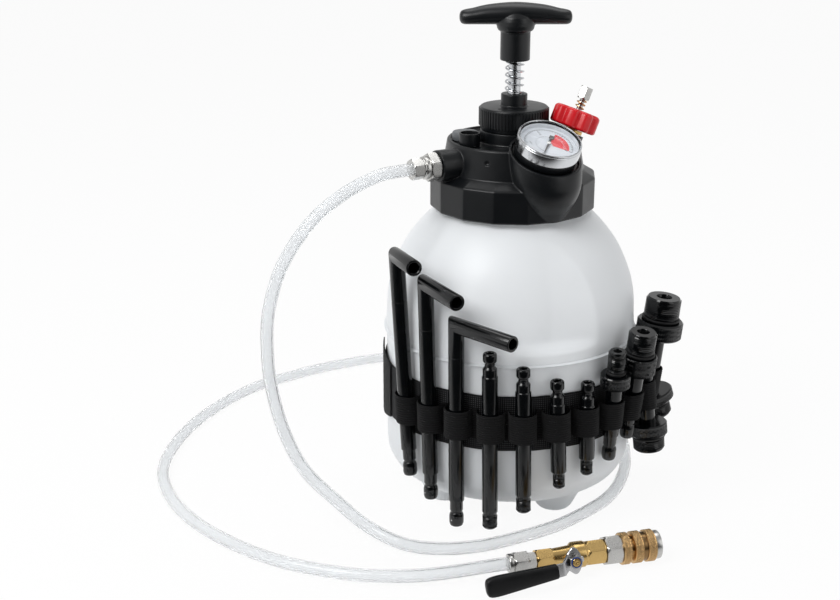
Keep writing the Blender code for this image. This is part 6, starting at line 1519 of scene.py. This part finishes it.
for number, entry in enumerate(threadedAdapters, 1):
    azimuth, lean, tilt = entry[:3]
    plain, top, collarStart, collarLength = (share * sizes.reachUnit for share in entry[3:7])
    threadRadius, collarRadius, pitch = entry[7:]
    sign = 1.0 if top > plain else -1.0
    place, axis, reach = adapterStand(azimuth, lean, tilt, collarStart, collarRadius, plain)
    loops.append((azimuth, lean, tilt, reach))
    collarFoot, threadTop, foot = sign * collarStart, sign * top, sign * plain
    collarTop = collarFoot + collarLength
    threadFoot = collarTop + sizes.sealHeight + 2 * sizes.gap
    bore = threadRadius * sizes.boreShare
    edge = collarRadius * 0.06
    groove = threadRadius * 0.86
    core = threadRadius - pitch * 0.40
    seat = seatAt(place, squareTo(axis * sign, outward(azimuth)))
    band = max(8, int(collarLength / 0.0009))
    knurl = knurled(int(2 * math.pi * collarRadius / 0.0017), 0.0005, collarFoot + edge, collarTop - edge, 0.0019)
    outline = eased([(sizes.footBore, foot)] + ballFoot(foot) + [
        (sizes.tube, foot + sizes.ballLength), (sizes.tube, collarFoot)], 0.0004)
    outline = [(*point, 0) for point in outline] + knurledBand(collarRadius, collarFoot, collarTop, edge, band)
    outline += [(groove, collarTop, 0), (groove, threadFoot, 0), (core, threadFoot, 0),
                (core, threadTop - edge * 1.5, 0), (core - edge, threadTop, 0), (bore + 0.0004, threadTop, 0),
                (bore, threadTop - 0.0005, 0), (bore, threadTop - sizes.boreDepth, 0),
                (sizes.footBore, threadTop - sizes.boreDepth, 0)]
    name = "threadedTube%d" % number
    mesh = lathed(name, outline, seat, 200, knurl, ring=True, size=0)
    ridges = thread(name + "Thread", core, threadFoot + pitch * 0.3, threadTop - edge * 1.5, pitch, seat, "blackSteel")
    node = "adapter_threaded_%d" % number
    dress(name, joinMeshes(name, [mesh, ridges]), "blackSteel", node, crease=40.0)
    sealOut = min(collarRadius - edge, threadRadius + edge)
    wire = sizes.sealHeight / 2
    middle = collarTop + sizes.gap + wire
    seal = [(sealOut - wire + wire * math.cos(2 * math.pi * k / 12), middle + wire * math.sin(2 * math.pi * k / 12), 0)
            for k in range(12)]
    sealNode = "adapter_seal_%d" % number
    dress("sealRing%d" % number, lathed("sealRing%d" % number, seal, seat, 64, ring=True, size=0), "rubber",
          sealNode, crease=60.0)
print("adapters made")


# belt: strap, hook fastener, and the elastic band that rises over each adapter
beltSizes = SimpleNamespace(
    # one size below is the height of the loop band's top strip, which is painted lighter as a painted highlight
    strapInner=0.102504, strapThickness=0.0015, low=0.0707, high=0.1163, loopLow=0.0809, loopHigh=0.1061,
    loopThickness=0.0013, ribDepth=0.0005, piping=0.0011, pitch=13.5, clearance=0.0004, ribs=12, fastenerStart=-92.0,
    fastenerEnd=-70.0, fastenerSpread=0.0102, fastenerThickness=0.0013)


def bandGrid(name, rowsInner, rowsOuter, heights, closed, runs):
    # closed band between an inner and an outer grid of points, rows by height
    bm = bmesh.new()
    mapLayer = bm.loops.layers.uv.new("UVMap")
    inner = [[bm.verts.new(point) for point in row] for row in rowsInner]
    outer = [[bm.verts.new(point) for point in row] for row in rowsOuter]
    count = len(inner[0])
    spans = count if closed else count - 1

    def paint(face, values):
        for loop, value in zip(face.loops, values):
            loop[mapLayer].uv = value

    for grid in (inner, outer):
        for index in range(len(grid) - 1):
            for k in range(spans):
                after = (k + 1) % count
                face = bm.faces.new((grid[index][k], grid[index][after], grid[index + 1][after], grid[index + 1][k]))
                left, right, low, high = runs[k], runs[k + 1], heights[index], heights[index + 1]
                paint(face, ((left, low), (right, low), (right, high), (left, high)))
    for index in (0, -1):
        for k in range(spans):
            after = (k + 1) % count
            face = bm.faces.new((inner[index][k], inner[index][after], outer[index][after], outer[index][k]))
            paint(face, ((runs[k], heights[index]), (runs[k + 1], heights[index]),
                         (runs[k + 1], heights[index] + 0.001), (runs[k], heights[index] + 0.001)))
    if not closed:
        for k in (0, -1):
            for index in range(len(inner) - 1):
                face = bm.faces.new((inner[index][k], inner[index + 1][k], outer[index + 1][k], outer[index][k]))
                paint(face, ((0, heights[index]), (0, heights[index + 1]), (0.001, heights[index + 1]),
                             (0.001, heights[index])))
    return meshFrom(name, bm, home)


def ringBand(name, inner, outer, low, high, columns, rows, wobble):
    heights = [low + (high - low) * k / rows for k in range(rows + 1)]
    runs = [2 * math.pi * outer * k / columns for k in range(columns + 1)]
    innerRows, outerRows = [], []
    for index, height in enumerate(heights):
        wave, roll = (wobble, 0.0003) if index in (0, rows) else (0.0, 0.0)
        lift = [wave * math.sin(k * 0.9) for k in range(columns)]
        innerRows.append([outward(360 * k / columns, inner + roll) + Vector((0, 0, height + lift[k]))
                          for k in range(columns)])
        outerRows.append([outward(360 * k / columns, outer - roll) + Vector((0, 0, height + lift[k]))
                          for k in range(columns)])
    return bandGrid(name, innerRows, outerRows, heights, True, runs)


strapOuter = beltSizes.strapInner + beltSizes.strapThickness
dress("strapBand", ringBand("strapBand", beltSizes.strapInner, strapOuter, beltSizes.low, beltSizes.high,
                            240, 12, 0.00015), "strapWeb", "belt_strap", crease=60.0)


def loopRow(height):
    sizes = beltSizes
    rise = height - adapterSizes.middle
    floor = adapterSizes.loopFloor
    centres = []
    for azimuth, lean, tilt, reach in loops:
        centre = reach + rise * math.tan(math.radians(lean))
        shift = math.degrees(rise * math.tan(math.radians(tilt)) / reach)
        centres.append((azimuth + shift, centre))
    stretch = adapterSizes.tube + sizes.clearance
    # one loop over its adapter: side, how far across, how far out
    half = ((1.78, None), (1.52, 0.10), (1.02, 0.70), (0.5, 1.0))
    arch = [(-1, *step) for step in half] + [(0, 0.0, 1.08)] + [(1, *step) for step in reversed(half)]
    row = [(centres[0][0] - sizes.pitch * 0.6, floor)]
    for index, (azimuth, centre) in enumerate(centres):
        if index:
            row.append(((azimuth + centres[index - 1][0]) / 2, floor))
        for side, across, out in arch:
            swing = math.degrees(side * across * stretch / centre)
            radius = floor if out is None else max(floor, centre + out * stretch)
            row.append((azimuth + swing, radius))
    row.append((centres[-1][0] + sizes.pitch * 0.6, floor))
    return row


def loopBand():
    sizes = beltSizes
    rows = sizes.ribs * 4
    heights = [sizes.loopLow + (sizes.loopHigh - sizes.loopLow) * k / rows for k in range(rows + 1)]
    innerRows, outerRows = [], []
    for index, height in enumerate(heights):
        fine = smoothRoute([Vector((azimuth, radius, 0)) for azimuth, radius in loopRow(height)], 4)
        rib = 0.5 + 0.5 * math.cos(2 * math.pi * sizes.ribs * index / rows)
        swell = sizes.loopThickness - sizes.ribDepth * rib
        if index in (0, rows):
            swell = sizes.loopThickness * 0.75
        inner, outer = [], []
        for point in fine:
            radius = max(point.y, adapterSizes.loopFloor)
            raisedBy = min(1.0, (radius - adapterSizes.loopFloor) / 0.006)
            droop = 0.0011 * raisedBy * (1 if index > rows / 2 else -1) * abs(2 * index / rows - 1)
            inner.append(outward(point.x, radius) + Vector((0, 0, height - droop)))
            outer.append(outward(point.x, radius + swell) + Vector((0, 0, height - droop)))
        innerRows.append(inner)
        outerRows.append(outer)
    runs = [0.0]
    middle = outerRows[rows // 2]
    for before, after in zip(middle[:-1], middle[1:]):
        runs.append(runs[-1] + (after - before).length)
    mesh = bandGrid("loopBand", innerRows, outerRows, [height - sizes.loopLow for height in heights], False, runs)
    # faces in the top strip of the loop band take the second, lighter web: a painted highlight along that edge
    edge = sizes.loopHigh - sizes.loopLow - sizes.piping
    places = mesh.uv_layers[0].data
    for face in mesh.polygons:
        face.material_index = 1 if min(places[loop].uv.y for loop in face.loop_indices) > edge else 0
    return mesh


dress("loopBand", loopBand(), ("loopWeb", "highlightEdgeWeb"), "belt_loops", crease=60.0)


def fastenerMesh():
    sizes = beltSizes
    columns, rows = 20, 16
    heights = [k / rows for k in range(rows + 1)]
    inner = adapterSizes.loopFloor
    innerRows, outerRows = [], []
    for index, height in enumerate(heights):
        roll = 0.0004 if index in (0, rows) else 0.0
        rowIn, rowOut = [], []
        for k in range(columns + 1):
            azimuth = sizes.fastenerStart + (sizes.fastenerEnd - sizes.fastenerStart) * k / columns
            spread = sizes.fastenerSpread * (1 - k / columns)
            low, high = sizes.low - spread, sizes.high + spread
            level = Vector((0, 0, low + (high - low) * height))
            rowIn.append(outward(azimuth, inner) + level)
            ripple = 0.0001 * math.sin(k * 1.7 + index)
            rowOut.append(outward(azimuth, inner + sizes.fastenerThickness - roll + ripple) + level)
        innerRows.append(rowIn)
        outerRows.append(rowOut)
    runs = [0.0019 * k for k in range(columns + 1)]
    return bandGrid("fastenerPatch", innerRows, outerRows, [0.05 * height for height in heights], False, runs)


dress("fastenerPatch", fastenerMesh(), "hookWeb", "belt_fastener", crease=60.0)
print("belt made")


# nodes that keep their own shape get their finish
keptNodes = {"head_gasket": "rubber", "pickup_tube": "clearPlastic", "pump_barrel": "blackPlastic",
             "foot_valve": "rubber", "piston": "blackPlastic", "piston_seal": "rubber", "gauge_stem": "brass",
             "valve_ball": "chrome"}
for node, finish in keptNodes.items():
    for slot in frame["nodes"][node].material_slots:
        slot.material = finishes[finish]


# floor, background and light
stageSizes = SimpleNamespace(
    floor=6.0, paper=0.93, keyPower=15.0, fillPower=2.0, topPower=5.0, ambient=0.66, mirror=0.8, darkNear=0.12,
    darkFar=0.32, darkWide=0.8, darkGlow=0.02)


def paperMaterial():
    # white to the camera, dark in front of the object to reflections, with enough plain paper to hold the shadow
    made = bpy.data.materials.new("paperFloor")
    made.use_nodes = True
    tree = made.node_tree
    tree.nodes.clear()
    out = tree.nodes.new("ShaderNodeOutputMaterial")
    ray = tree.nodes.new("ShaderNodeLightPath")
    where = tree.nodes.new("ShaderNodeTexCoord")
    place = addNode(tree, "ShaderNodeSeparateXYZ", [(where.outputs["Object"], "Vector")])
    front = addNode(tree, "ShaderNodeMapRange", [(place.outputs[1], "Value")], **{
        "From Min": home.translation.y - stageSizes.darkFar,
        "From Max": home.translation.y - stageSizes.darkNear})
    sideways = mathNode(tree, "ABSOLUTE", mathNode(tree, "SUBTRACT", place.outputs[0], home.translation.x))
    beside = addNode(tree, "ShaderNodeMapRange", [(sideways, "Value")], **{
        "From Min": stageSizes.darkWide, "From Max": stageSizes.darkWide * 1.6})
    mirrored = mathNode(tree, "MULTIPLY", ray.outputs["Is Glossy Ray"],
                        mathNode(tree, "MAXIMUM", front.outputs["Result"], beside.outputs["Result"]))
    seen = mathNode(tree, "MAXIMUM", mathNode(tree, "MAXIMUM", ray.outputs["Is Camera Ray"], mirrored),
                    ray.outputs["Is Transmission Ray"])
    speck = addNode(tree, "ShaderNodeTexNoise", [(where.outputs["Object"], "Vector")], Scale=6.0, Detail=2.0)
    tint = addNode(tree, "ShaderNodeMix", [(speck.outputs["Fac"], 0)], set_data_type="RGBA",
                   _6=(0.90, 0.90, 0.90, 1.0), _7=(0.88, 0.88, 0.885, 1.0))
    matt = mathNode(tree, "SUBTRACT", 1.0, mathNode(tree, "MULTIPLY", ray.outputs["Is Glossy Ray"],
                                                   mathNode(tree, "SUBTRACT", 1.0, mirrored)))
    shade = addNode(tree, "ShaderNodeMix", [(matt, 0), (tint.outputs[2], 7)], set_data_type="RGBA",
                    _6=(0.02, 0.02, 0.02, 1.0))
    paper = addNode(tree, "ShaderNodeBsdfDiffuse", [(shade.outputs[2], "Color")])
    glow = addNode(tree, "ShaderNodeEmission", Strength=1.0)
    glow.inputs["Color"].default_value = (1.0, 1.0, 1.0, 1.0)
    share = mathNode(tree, "MULTIPLY", seen, stageSizes.paper)
    mix = addNode(tree, "ShaderNodeMixShader", [(share, 0), (paper.outputs[0], 1), (glow.outputs[0], 2)])
    tree.links.new(mix.outputs[0], out.inputs["Surface"])
    return made


bm = bmesh.new()
bmesh.ops.create_grid(bm, x_segments=1, y_segments=1, size=stageSizes.floor)
floorMesh = bpy.data.meshes.new("floor")
bm.to_mesh(floorMesh)
bm.free()
floor = placed("floor", floorMesh)
floorMesh.materials.append(paperMaterial())
floor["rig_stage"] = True

world = bpy.data.worlds.new("studio")
stageSet.world = world
world.use_nodes = True
sky = world.node_tree
sky.nodes.clear()
skyOut = sky.nodes.new("ShaderNodeOutputWorld")
skyRay = sky.nodes.new("ShaderNodeLightPath")
skyWhere = sky.nodes.new("ShaderNodeTexCoord")
skySplit = addNode(sky, "ShaderNodeSeparateXYZ", [(skyWhere.outputs["Generated"], "Vector")])
skyFall = addNode(sky, "ShaderNodeMapRange", [(skySplit.outputs[2], "Value")],
                  **{"From Min": 0.15, "From Max": 0.75, "To Min": 1.0, "To Max": 0.62})
# the camera's side is dark in reflections
skySide = addNode(sky, "ShaderNodeMapRange", [(skySplit.outputs[1], "Value")],
                  **{"From Min": -0.82, "From Max": -0.40, "To Min": stageSizes.darkGlow, "To Max": 1.0})
skyPlain = mathNode(sky, "MULTIPLY", skyFall.outputs["Result"], stageSizes.ambient)
skySeen = mathNode(sky, "MAXIMUM", skyRay.outputs["Is Camera Ray"], skyRay.outputs["Is Transmission Ray"])
skyShine = mathNode(sky, "MULTIPLY", mathNode(sky, "MULTIPLY", skyFall.outputs["Result"], stageSizes.mirror),
                    skySide.outputs["Result"])
skyGloss = mathNode(sky, "MULTIPLY", skyRay.outputs["Is Glossy Ray"], skyShine)
skyOpen = mathNode(sky, "MULTIPLY", mathNode(sky, "SUBTRACT", 1.0, skyRay.outputs["Is Glossy Ray"]), skyPlain)
skyLevel = mathNode(sky, "MAXIMUM", mathNode(sky, "MAXIMUM", skySeen, skyGloss), skyOpen)
skyShade = addNode(sky, "ShaderNodeBackground", [(skyLevel, "Strength")])
skyShade.inputs["Color"].default_value = (1.0, 1.0, 1.0, 1.0)
sky.links.new(skyShade.outputs[0], skyOut.inputs["Surface"])


def softbox(name, place, aim, width, height, power):
    lamp = bpy.data.lights.new(name, "AREA")
    lamp.shape, lamp.size, lamp.size_y, lamp.energy = "RECTANGLE", width, height, power
    holder = placed(name, lamp)
    holder.location = home @ Vector(place)
    holder.rotation_euler = (home @ Vector(aim) - holder.location).to_track_quat("-Z", "Y").to_euler()


softbox("keyLight", (-0.9, -0.8, 1.3), (0, 0, 0.18), 0.8, 0.8, stageSizes.keyPower)
softbox("fillLight", (1.1, -0.9, 0.8), (0, 0, 0.15), 0.7, 1.0, stageSizes.fillPower)
softbox("topLight", (0.1, 0.5, 1.5), (0, 0, 0.25), 1.0, 0.7, stageSizes.topPower)
stageSet.view_settings.view_transform = "Standard"
print("lit")

low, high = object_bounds()
